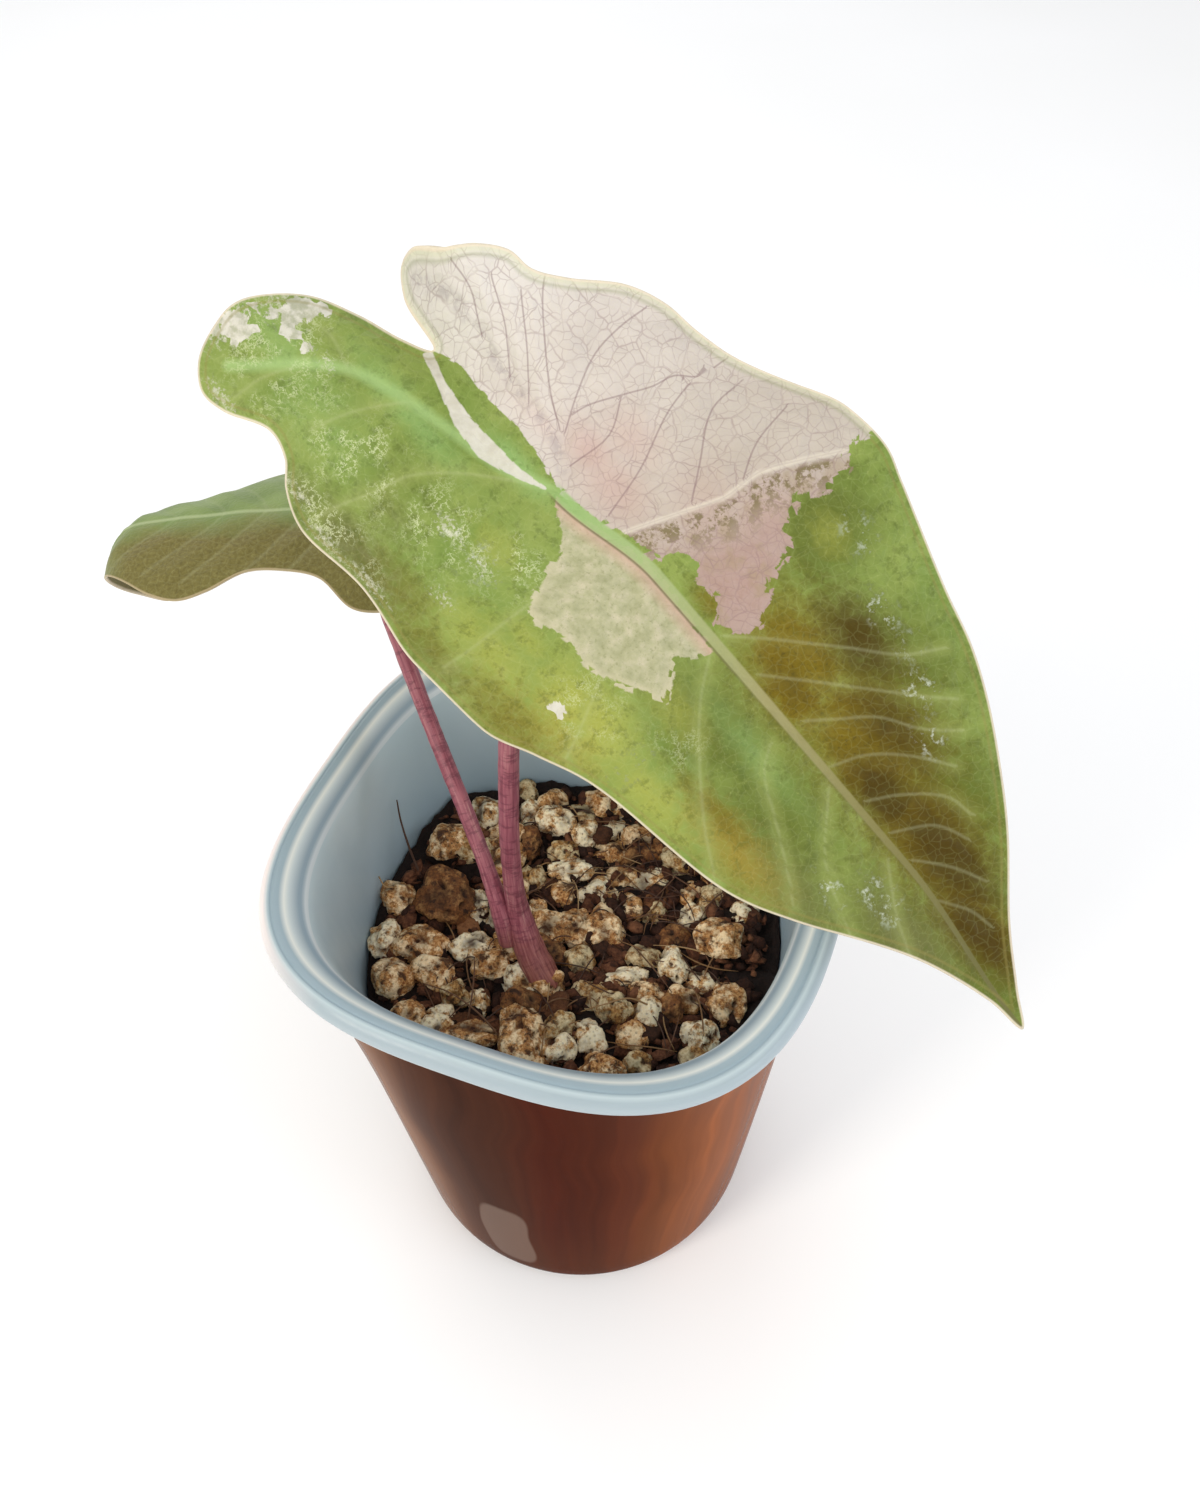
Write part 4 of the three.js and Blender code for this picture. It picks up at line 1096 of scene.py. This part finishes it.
def grow_blade(name, outline, surface, relief, rib, skins):
    """A blade of two skins that meet in a rounded rim, drawn as rings round the stalk."""
    rim = smooth_route(outline, LEAF_SAMPLES, closed=True)
    count = len(rim)
    top_shares = np.concatenate([np.arange(1, TOP_RINGS) / TOP_RINGS, [LAST_RING]])
    under_shares = np.concatenate([[LAST_RING], np.arange(UNDER_RINGS - 1, 0, -1) / UNDER_RINGS])
    shares = np.concatenate([[0], top_shares, [1], under_shares, [0]])
    ring_of = np.repeat(np.arange(len(shares)), count)
    along, side = (shares[ring_of] * np.tile(rim[:, i], len(shares)) for i in (0, 1))
    step = 0.05
    middle = surface(along, side)
    slope_a = surface(along + step, side) - middle
    slope_s = surface(along, side + step) - middle
    normal = np.cross(slope_a, slope_s)
    normal /= np.linalg.norm(normal, axis=1)[:, None]
    rim_distance = line_distance(along, side, np.vstack([rim, rim[:1]]))[0]
    thickness = RIM_THICKNESS + (BLADE - RIM_THICKNESS) * smooth_step(0, 3, rim_distance)
    lift = relief(along, side, rim_distance)
    rim_ring = len(top_shares) + 1
    below = np.where(ring_of > rim_ring, thickness + rib(along, side), 0)
    below = np.where(ring_of == rim_ring, thickness / 2, below)
    points = middle + (lift - below)[:, None] * normal
    keep = np.concatenate([[0], np.arange(count, count * (len(shares) - 1) + 1)])
    faces = [[0, 1 + k, 1 + (k + 1) % count] for k in range(count)]
    for ring in range(len(shares) - 3):
        low = 1 + ring * count
        for k in range(count):
            near, far = low + k, low + (k + 1) % count
            faces.append([near, near + count, far + count, far])
    last = 1 + (len(shares) - 2) * count
    faces += [[last - count + k, last, last - count + (k + 1) % count] for k in range(count)]
    blade = mesh_from(name, points[keep], faces, skins[0])
    blade.data.materials.append(skins[1])
    is_under = np.arange(len(faces)) >= count * rim_ring
    blade.data.polygons.foreach_set("material_index", is_under.astype(np.int32))
    along, side, rim_distance = along[keep], side[keep], rim_distance[keep]
    keep_values(blade, "leaf_mm", np.stack([along, side, 0 * along], 1), "FLOAT_VECTOR")
    keep_values(blade, "rim_mm", rim_distance)
    return blade, along, side


main_green_rib = smooth_route(from_midrib(GREEN_RIB), VEIN_SAMPLES)
main_pale_rib = smooth_route(from_midrib(PALE_RIB), VEIN_SAMPLES)
main_veins = [
    smooth_route(from_midrib(line), VEIN_SAMPLES)
    for line in [*GREEN_VEINS, *PALE_VEINS, BRIGHT_VEIN]
]
main_lines = [*main_veins, main_green_rib, main_pale_rib]


def vein_swell(lines, height, softness, grains, along, side, rim_distance):
    """The blade swells softly between its veins, and the veins lie in narrow grooves."""
    reach = nearest_line(along, side, lines)[0]
    midrib = np.where(along > 0, np.abs(side), np.hypot(along, side))
    soft = np.sqrt(np.minimum(reach, midrib) ** 2 + 0.3) - 0.55
    swell = height * (1 - np.exp(-soft / softness)) * smooth_step(0, 4, rim_distance)
    ripple = [
        sum(depth * noise.noise(Vector((a / size, s / size, layer))) for size, depth, layer in grains)
        for a, s in zip(along, side)
    ]
    return swell + np.array(ripple) * smooth_step(-1, 5, rim_distance) - 0.4 * height


def leaf_nets(add, flat):
    """The two finest orders of veins, as nets that wander a little. It gives back how far each
    place is from the coarse net and the fine one, and a number for each fine cell."""
    wander = add("TexNoise", {"Vector": flat, "Scale": 0.45, "Detail": 2}, output="Color")
    wander = add("VectorMath", [wander, (0.5, 0.5, 0.5)], operation="SUBTRACT")
    wander = add("VectorMath", {0: wander, "Scale": 1.3}, operation="SCALE")
    bent = add("VectorMath", [flat, wander])
    nets = []
    for size in (COARSE_CELL, FINE_CELL):
        net = add("TexVoronoi", {"Vector": bent, "Scale": 1 / size}, voronoi_dimensions="2D",
                  feature="DISTANCE_TO_EDGE")
        nets.append(add("Math", [net, size], operation="MULTIPLY"))
    cell = add("TexVoronoi", {"Vector": bent, "Scale": 1 / FINE_CELL}, output="Color",
               voronoi_dimensions="2D")
    return *nets, add("SeparateXYZ", [cell], output="X")


def variegated_skin():
    """The upper skin: waxy, smooth between the veins. The colours lie in the tissue below it,
    so the parts without green stop at the small veins, in steps. Glints, highlights on fine
    creases, and some light and shade are painted into its colour."""
    material, add, sockets = start_material(
        "variegated_leaf_skin", Specular_IOR_Level=0.12, Subsurface_Weight=0.05,
        Subsurface_Radius=(0.0012, 0.0014, 0.0006), Subsurface_Scale=0.3,
    )
    flat = add("Attribute", attribute_name="leaf_mm", output="Vector")
    along, side = add("SeparateXYZ", [flat], output=None)[:2]
    coarse, fine, cell = leaf_nets(add, flat)
    rim, vein, reach, green_rib, pale_rib, bright, cream_in, beige_in, fleck_in = (
        add("Attribute", attribute_name=name + "_mm", output="Fac")
        for name in ("rim", "vein", "vein_reach", "green_rib", "pale_rib", "bright_vein",
                     "cream", "beige", "fleck")
    )
    flush = {name: add("Attribute", attribute_name=name, output="Fac") for name in FLUSHES}
    broad, medium, speck, patch, crease, gaps = (
        add("TexNoise", {"Vector": flat, "Scale": 1 / grain, "Detail": detail, "Roughness": rough})
        for grain, detail, rough in ((9, 3, 0.6), (1.7, 4, 0.6), (0.5, 4, 0.72), (3.2, 3, 0.6),
                                     (1.1, 5, 0.7), (2.4, 2, 0.6))
    )
    off_midrib = add("Math", [side], operation="ABSOLUTE")
    line = add("Math", [vein], operation="ABSOLUTE")
    ahead = add("MapRange", [along, -1, 1, 0, 1])
    grainy = add("Math", [speck, 0.6, medium], operation="MULTIPLY_ADD")

    # green tissue, gold and brown where it is old and dry
    uneven = add("Math", [medium, 0.7, -0.35], operation="MULTIPLY_ADD")
    dry = add("Math", [flush["gold"], flush["brown"]])
    fresh = add("MapRange", [dry, 0.2, 1.2, 1, 0.1])
    # lines for the painted highlights on fine creases
    crease_highlight_lines = add("Math", [crease, 0.5], operation="SUBTRACT")
    crease_highlight_lines = add("Math", [crease_highlight_lines], operation="ABSOLUTE")
    bleached = add("Math", [flush["bleached"], 0.3, speck], operation="MULTIPLY_ADD")
    green = add("ValToRGB", [broad], stops=[(0.35, "73883f"), (0.65, "88974d")])
    for name, colour in FLUSH_COLOURS.items():
        edge = add("Math", [flush[name], uneven])
        green = paint_over(add, green, [
            (colour, (edge, 0.08, 0.85, 0, 0.95), (flush[name], 0.02, 0.12, 0, 1)),
        ])
    green = paint_over(add, green, [
        ("4a3c10", (speck, 0.52, 0.66, 0, 1), (dry, 0.1, 1.0, 0, 0.6)),  # dark specks
        ("566428", (grainy, 0.82, 0.98, 0, 0.5), fresh),  # mottling
        ("b6bd70", (speck, 0.42, 0.28, 0, 0.25), fresh),  # pale specks
        ("c0c88a", (fine, 0.1, 0.02, 0, 0.06)),  # the fine net
        ("98a25c", (reach, 1.4, 0, 0, 0.4), fresh),  # painted light beside the veins, as shading of the blade that swells between them
        # the veins and the rib of the rear lobe
        ("c6caa0", (line, 0.3, 0.05, 0, 1), (side, -4, 2, 0.1, 0.13), (reach, 0.6, 0.45, 0, 1)),
        ("a0bd7a", (green_rib, 1.0, 0.2, 0, 0.6), (along, 1, -1, 0, 1)),
        # painted highlights on fine creases, bleached spots and painted glints
        ("dde2b6", (crease_highlight_lines, 0.028, 0, 0, 0.75), (patch, 0.45, 0.58, 0, 1),
         (flush["crease_highlights"], 0.1, 0.7, 0, 1)),
        ("cbc9b4", (bleached, 0.62, 0.76, 0, 0.65), (flush["bleached"], 0.05, 0.4, 0, 1)),
        ("dbe2d0", (grainy, 0.84, 0.98, 0, 0.6), (flush["glossy"], 0.15, 0.8, 0, 1)),
    ])

    # beige tissue, with a little green left in it
    beige = add("ValToRGB", [medium], stops=[(0.3, "9b9a76"), (0.5, "aeab89"), (0.7, "c2ba9e")])
    beige = paint_over(add, beige, [
        ("7d7f56", (speck, 0.54, 0.66, 0, 0.5)),  # green specks
        ("c4a090", (off_midrib, 2.4, 1.0, 0, 0.7)),  # beside the midrib
        ("c6bd9f", (beige_in, 1.2, 0.2, 0, 1), (side, -3, -7, 0, 0.6)),  # along its low edge
    ])

    # cream tissue, lilac below the bright vein, with a net of dark veins
    below = add("MapRange", [bright, 0.3, 0.9, 0, 1])
    from_bright = add("Math", [bright], operation="ABSOLUTE")
    coarse_net = add("MapRange", [coarse, 0.12, 0.03, 0, 0.42])
    fine_net = add("MapRange", [fine, 0.08, 0.01, 0, 0.4])
    net = add("Math", [coarse_net, fine_net], operation="MAXIMUM")
    rosy = add("Math", [flush["pink"], 0.45], operation="MULTIPLY")
    cream = add("ValToRGB", [broad], stops=[(0.35, "c3bab0"), (0.65, "cdc5bb")])
    cream = paint_over(add, cream, [
        ("c08f86", rosy),
        ("9f917c", (along, -6, 10, 0, 0.4)),  # painted shade, duller towards the tip
        ("dedad2", (along, -10, -20, 0, 0.5)),  # and painted light, whiter towards the rear
        # below the bright vein: lilac, in lighter and duller patches, with olive spots
        ("98776d", below, (bright, 1.5, 6, 0.15, 0.62)),
        ("c6aca8", below, (grainy, 0.7, 0.95, 0, 0.4)),
        ("9a8868", below, (patch, 0.5, 0.62, 0, 0.4)),
        ("70653c", (grainy, 0.77, 0.87, 0, 1), below, (bright, 5.5, 2, 0.15, 0.85)),
        # smudges along the rib, the broken net and the dark veins
        ("90858a", (grainy, 0.72, 0.88, 0, 1), (pale_rib, 1.0, 0.2, 0, 0.4)),
        ("876e6e", net, (gaps, 0.38, 0.6, 0.4, 1)),
        ("7a6164", (line, 0.13, 0.05, 0, 1), (reach, 0.5, 0.35, 0, 0.5)),
        # a greener edge with a fine line in it, and the bright vein
        ("cbcea6", (rim, 1.05, 0.5, 0, 0.45)),
        ("8d9369", (rim, 0.75, 0.95, 0, 0.4), (rim, 1.4, 1.0, 0, 1)),
        ("ddd5c2", (from_bright, 0.4, 0.1, 0, 0.5)),
    ])

    # flecks of pale tissue, and the midrib, wide at the stalk and fine at the tip
    fleck = add("ValToRGB", [medium], stops=[(0.3, "d6d2c6"), (0.7, "cac3b6")])
    fleck = paint_over(add, fleck, [
        ("9a9d80", (medium, 0.45, 0.58, 0, 0.65), (along, -20, -26, 0.1, 1)),
    ])
    midrib_share = add("Math", [along, MIDRIB_STRETCH], operation="DIVIDE")
    midrib = add("ValToRGB", [midrib_share], stops=[
        (0.0, "8fb06c"), (0.15, "9eae78"), (0.4, "999366"), (0.65, "807a4c"), (0.9, "69663e"),
    ])
    half_width = add("MapRange", [along, 0, MIDRIB_STRETCH, 0.74, 0.24])
    across_midrib = add("Math", [off_midrib, half_width], operation="DIVIDE")
    from_left = add("Math", [side, half_width])

    # the parts over each other: their edges step from cell to cell, less so in the notch
    jag = add("Math", [cell, 1.3, -1.25], operation="MULTIPLY_ADD")
    jag = add("Math", [speck, 1.2, jag], operation="MULTIPLY_ADD")
    notch_calm = add("MapRange", [along, -4, 2, 0.2, 1])
    cream_edge = add("Math", [jag, notch_calm, cream_in], operation="MULTIPLY_ADD")
    in_cream = add("MapRange", [cream_edge, -0.06, 0.06, 0, 1])
    beige_edge = add("Math", [jag, 0.6, beige_in], operation="MULTIPLY_ADD")
    fleck_rear = add("MapRange", [along, -22, -28, 0.12, 1.2])
    fleck_calm = add("Math", [fleck_rear, add("MapRange", [along, 0, 4, 0, 1])])
    fleck_edge = add("Math", [jag, fleck_calm, fleck_in], operation="MULTIPLY_ADD")
    tone = paint_over(add, green, [
        (beige, (beige_edge, -0.08, 0.08, 0, 0.94)),
        (cream, in_cream),
        (fleck, (fleck_edge, -0.22, -0.08, 0, 0.9)),
        (midrib, (across_midrib, 1.15, 0.75, 0, 0.9), ahead),
        # a dark line down the midrib's left side
        ("686340", (from_left, -0.28, -0.1, 0, 1), (from_left, 0.12, 0, 0, 1),
         (along, 34, 22, 0.15, 0.75), ahead),
        # a fine line inside the rim, and the rim, which has no green
        ("8a7f45", (rim, 0.8, 0.95, 0, 0.35), (rim, 1.3, 1.1, 0, 1), (in_cream, 1, 0, 0, 1)),
        ("dccfb8", (rim, 0.38, 0.2, 0, 0.85)),
    ])
    height = add("Math", [coarse, 2.4, fine], operation="MULTIPLY_ADD")
    height = add("Math", [grainy, 1.4, height], operation="MULTIPLY_ADD")
    relief = add("Bump", {"Height": height, "Distance": 0.0001, "Strength": 0.6})
    join_nodes(
        sockets,
        Base_Color=tone,
        Roughness=add("MapRange", [grainy, 0.45, 1.15, 0.3, 0.46]),
        Normal=relief,
    )
    return material


def leaf_underside(name, body, flush):
    """The lower skin: matt and paler, with a purple flush towards the ribs and the rim."""
    material, add, sockets = start_material(name, Roughness=0.55, Specular_IOR_Level=0.25)
    flat = add("Attribute", attribute_name="leaf_mm", output="Vector")
    rim = add("Attribute", attribute_name="rim_mm", output="Fac")
    reach = add("Attribute", attribute_name="vein_reach_mm", output="Fac")
    fine = leaf_nets(add, flat)[1]
    cloud = add("TexNoise", {"Vector": flat, "Scale": 1 / 7, "Detail": 4})
    tone = paint_over(add, add("ValToRGB", [cloud], stops=body), [
        (flush, (reach, 2.2, 0.2, 0, 0.6)),
        (flush, (fine, 0.16, 0.04, 0, 0.3)),
        ("dccdb4", (rim, 0.5, 0.2, 0, 0.9)),
    ])
    ridges = add("MapRange", [fine, 0.3, 0, 0, 1])
    relief = add("Bump", {"Height": ridges, "Distance": 0.0001, "Strength": 0.5})
    join_nodes(sockets, Base_Color=tone, Normal=relief)
    return material


main_skins = [
    variegated_skin(),
    leaf_underside("pale_leaf_underside", [(0.35, "93a570"), (0.65, "a9b587")], "8a6a68"),
]
main_leaf, along, side = grow_blade(
    "variegated_main_leaf", MAIN_OUTLINE, main_surface,
    partial(vein_swell, main_lines, 0.75, 2.6, [(7, 0.3, 3), (2, 0.1, 8)]), main_rib, main_skins
)
vein_reach, vein_side = nearest_line(along, side, main_veins)
flecks = [inside_distance(along, side, from_midrib(fleck)) for fleck in CREAM_FLECKS]
distances = {
    "vein_reach": vein_reach,
    "vein": vein_side,
    "green_rib": line_distance(along, side, main_green_rib)[0],
    "pale_rib": line_distance(along, side, main_pale_rib)[0],
    # positive on the side that is towards the leaf's tip
    "bright_vein": -line_distance(along, side, from_midrib(BRIGHT_VEIN))[1],
    "cream": inside_distance(along, side, from_midrib(CREAM_PART)),
    "beige": inside_distance(along, side, from_midrib(BEIGE_PART)),
    "fleck": np.max(flecks, axis=0),
}
for name, distance in distances.items():
    keep_values(main_leaf, name + "_mm", distance)
for name, spots in FLUSHES.items():
    keep_values(main_leaf, name, soft_spots(along, side + midrib_bow(along), spots))
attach(main_leaf, "root")
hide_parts("main_leaf_blade")


# Second leaf
# The older, smaller leaf behind: dull green going olive brown towards the near side. It
# droops, and its tip curls under, dry and brown at the end.
SECOND_JOINT = Vector((-38.1, 19.8, 118))
SECOND_LENGTH = 50
MIDRIB_PIECES = 60
SECOND_OUTLINE = [
    (50, 0), (46, 1.5), (38, 6.2), (30, 11.2), (26, 13.6), (22, 14.8), (18, 13.8), (13, 11.2),
    (8, 11.2), (3, 12.4), (-2, 16.8), (-6, 17.3), (-10, 16.5), (-15, 14), (-19, 10.5),
    (-20, 7), (-17, 3.5), (-8, 0), (-17, -4), (-21, -8), (-20, -12), (-15, -15), (-4, -17),
    (4, -16), (14, -14), (22, -11.6), (30, -9.2), (38, -5.4), (46, -1.5),
]
SECOND_ALONG = Vector((-0.95, -0.31, 0)).normalized()
SECOND_ACROSS = Vector((0.31, -0.95, 0)).normalized()


def second_surface(along, side):
    """The blade runs level from its stalk, and its front half bends steeply down."""
    share = np.arange(MIDRIB_PIECES + 1)[:, None] / MIDRIB_PIECES
    stops = share * along
    dips = np.radians(1 + 0.3 * np.maximum(stops, 0) + 138 * smooth_step(27, 51, stops))
    lengths = along / MIDRIB_PIECES
    middles = (dips[1:] + dips[:-1]) / 2
    out = (np.cos(middles) * lengths).sum(0)
    down = (np.sin(middles) * lengths).sum(0)
    dip = dips[-1]
    near, far = np.maximum(side, 0), np.maximum(-side, 0)
    far_droop = (0.1 * far + 0.0105 * far**2) * (1 + 1.2 * smooth_step(12, 30, along))
    droop = 0.012 * near**2 + far_droop
    return (
        np.array(SECOND_JOINT)
        + (out - droop * np.sin(dip))[:, None] * np.array(SECOND_ALONG)
        + (-down - droop * np.cos(dip))[:, None] * np.array((0, 0, 1))
        + side[:, None] * np.array(SECOND_ACROSS)
    )


def second_rib(along, side):
    ahead = smooth_step(48, 36, along) * smooth_step(-3, 1, along)
    return 0.8 * np.exp(-(side**2)) * ahead


second_veins = []
for hand in (-1, 1):
    for start in (1, 6, 12, 18, 25, 32, 38):
        reach = 1 - start / SECOND_LENGTH
        second_veins.append(np.array([
            (start, 0), (start + 1.5, 4 * hand * reach), (start + 5, 10 * hand * reach),
            (start + 9.5, 16 * hand * reach),
        ]))
    second_veins.append(np.array([(0, 0), (-6, 3.5 * hand), (-12, 6.5 * hand), (-17, 8 * hand)]))
    second_veins.append(np.array([(-6, 3.5 * hand), (-8, 9 * hand), (-7, 15 * hand)]))


def olive_skin():
    """The upper skin of an older leaf: duller, green on the far half and olive brown on the
    near one, with a pale midrib and a cream rim."""
    material, add, sockets = start_material(
        "olive_leaf_skin", Roughness=0.42, Specular_IOR_Level=0.12
    )
    flat = add("Attribute", attribute_name="leaf_mm", output="Vector")
    rim, vein, reach = (
        add("Attribute", attribute_name=name, output="Fac")
        for name in ("rim_mm", "vein_mm", "vein_reach_mm")
    )
    along, side = add("SeparateXYZ", [flat], output=None)[:2]
    fine = leaf_nets(add, flat)[1]
    cloud = add("TexNoise", {"Vector": flat, "Scale": 1 / 8, "Detail": 4})
    speck = add("TexNoise", {"Vector": flat, "Scale": 1 / 0.6, "Detail": 4, "Roughness": 0.7})
    green = add("ValToRGB", [cloud], stops=[(0.35, "6f8249"), (0.65, "849659")])
    brown = add("ValToRGB", [speck], stops=[(0.35, "62552c"), (0.55, "746839"), (0.7, "827848")])
    drift = add("Math", [side, add("Math", [cloud, 9, -4.5], operation="MULTIPLY_ADD")])
    line = add("Math", [vein], operation="ABSOLUTE")
    off_midrib = add("Math", [side], operation="ABSOLUTE")
    tone = paint_over(add, green, [
        (brown, (drift, 0, 5, 0, 0.9), (along, 42, 30, 0.25, 1)),
        # the fine net, the veins and the midrib
        ("b0b487", (fine, 0.1, 0.02, 0, 0.07)),
        ("bcc09a", (line, 0.4, 0.1, 0, 0.1), (reach, 0.8, 0.5, 0, 1)),
        ("b9c495", (off_midrib, 0.6, 0.2, 0, 0.5), (along, -1, 1, 0, 1)),
        # the dry tip and the rim
        ("b48d66", (along, 45, 48, 0, 0.9)),
        ("b8a684", (rim, 0.3, 0.15, 0, 0.7)),
    ])
    height = add("MapRange", [fine, 0, 0.3, 0, 1])
    relief = add("Bump", {"Height": height, "Distance": 0.00006, "Strength": 0.5})
    join_nodes(sockets, Base_Color=tone, Normal=relief)
    return material


second_skins = [
    olive_skin(),
    leaf_underside("olive_leaf_underside", [(0.35, "7d7b4e"), (0.65, "8f8c5e")], "81704c"),
]
second_leaf, along, side = grow_blade(
    "olive_second_leaf", SECOND_OUTLINE, second_surface,
    partial(vein_swell, second_veins, 0.5, 2, [(6, 0.25, 11)]), second_rib, second_skins
)
vein_reach, vein_side = nearest_line(along, side, second_veins)
keep_values(second_leaf, "vein_reach_mm", vein_reach)
keep_values(second_leaf, "vein_mm", vein_side)
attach(second_leaf, "root")
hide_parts("second_leaf_blade")


# Petioles
# The two leaf stalks: round, juicy and mauve, with fine lengthwise streaks and darker
# cross marks. The older one grows out of the sheath at the foot of the younger one.
MAIN_ROUTE = [
    (1.5, -10.2, 49), (-1, -9, 61), (-4.2, -6.9, 65.5), (-6.2, -5.3, 71), (-6.7, -5.2, 79),
    (-6.5, -4.8, 94), (-5.6, -1.4, 116), (-2.3, 6.2, 138.4),
]
SECOND_ROUTE = [
    (-7.6, -7, 66.5), (-8.6, -6.3, 72), (-11, -4.1, 77.5), (-15.9, 0.2, 84.6),
    (-22.6, 6.2, 91.8), (-29.6, 12.3, 101), (-35, 17, 110), (-38.1, 19.8, 118.2),
]
SHEATH_RADIUS = 2.5
MAIN_STEM_RADIUS = 1.35
SECOND_STEM_RADIUS = 1.15
STALK_SIDES = 40
ROUTE_SAMPLES = 22
TUCK = 0.8  # depth of a petiole's end below the top of its blade


def main_stalk_radius(z):
    sheath = SHEATH_RADIUS - 0.9 * smooth_step(61, 76, z)
    narrowing = smooth_step(70, 84, z)
    stalk = sheath * (1 - narrowing) + MAIN_STEM_RADIUS * narrowing
    return stalk + 0.5 * smooth_step(128, 138, z)


def second_stalk_radius(z):
    return SECOND_STEM_RADIUS + 0.35 * smooth_step(80, 70, z) + 0.4 * smooth_step(110, 118, z)


def mauve_petiole():
    """Waxy petiole skin: mauve streaks over a paler ground, with short darker cross marks. It
    turns brown near the mix."""
    material, add, sockets = start_material(
        "mauve_petiole_skin", Roughness=0.42, Specular_IOR_Level=0.35,
        Subsurface_Weight=0.1, Subsurface_Radius=(0.002, 0.0008, 0.0008), Subsurface_Scale=0.5,
    )
    skin = add("Attribute", attribute_name="skin_mm", output="Vector")
    millimetres = place_in_mm(add)
    z = add("SeparateXYZ", [millimetres], output="Z")
    long_streak = add("VectorMath", [skin, (2.6, 2.6, 0.12)], operation="MULTIPLY")
    streak = add("TexNoise", {"Vector": long_streak, "Scale": 1.2, "Detail": 4, "Roughness": 0.6})
    cross = add("VectorMath", [skin, (0.5, 0.5, 1.5)], operation="MULTIPLY")
    mark = add("TexNoise", {"Vector": cross, "Scale": 0.9, "Detail": 3, "Roughness": 0.7})
    mauve = add("ValToRGB", [streak], stops=[
        (0.3, "7c3f4a"), (0.45, "93505c"), (0.58, "a6646c"), (0.75, "b98a86"),
    ])
    brown = add("ValToRGB", [streak], stops=[(0.3, "6f3a2c"), (0.6, "9c6048"), (0.8, "b98460")])
    ragged_height = add("Math", [mark, 9, z], operation="MULTIPLY_ADD")
    tone = paint_over(add, mauve, [
        ("642f3c", (mark, 0.5, 0.62, 0, 0.6)),
        (brown, (ragged_height, 76, 67, 0, 0.75)),
    ])
    relief = add("Bump", {"Height": streak, "Distance": 0.0002, "Strength": 0.5})
    join_nodes(sockets, Base_Color=tone, Normal=relief)
    return material


petiole_skin = mauve_petiole()


def tuck_under(points, joint, axes, surface, bow):
    """Presses a petiole's end flat where it would come up through the blade it carries."""
    middle, sideways, normal = (np.array(axis) for axis in axes)
    from_joint = points - np.array(joint)
    along, side = from_joint @ middle, from_joint @ sideways
    allowed = (surface(along, side - bow(along)) - np.array(joint)) @ normal - TUCK
    over = np.maximum(from_joint @ normal - allowed, 0)
    return points - over[:, None] * normal


def petiole(name, route, radius_at, node, blade):
    line = smooth_route(route, ROUTE_SAMPLES)
    points, faces, skin = tube_along(line, [radius_at(z) for z in line[:, 2]], STALK_SIDES)
    uneven = [0.05 * noise.noise(Vector(point) * 0.7) for point in points]
    centres = np.repeat(line, STALK_SIDES, axis=0)
    points = points + (points - centres) * np.array(uneven)[:, None]
    points = tuck_under(points, *blade)
    stalk = mesh_from(name, points, faces, petiole_skin)
    keep_values(stalk, "skin_mm", skin, "FLOAT_VECTOR")
    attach(stalk, "root")
    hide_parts(node)


main_blade = (
    MAIN_JOINT, (MAIN_MIDDLE, MAIN_SIDEWAYS, MAIN_NORMAL), main_surface, midrib_bow
)
petiole("main_petiole", MAIN_ROUTE, main_stalk_radius, "main_stem", main_blade)
second_blade = (
    SECOND_JOINT, (SECOND_ALONG, SECOND_ACROSS, Vector((0, 0, 1))), second_surface, np.zeros_like
)
petiole("second_petiole", SECOND_ROUTE, second_stalk_radius, "second_stem", second_blade)
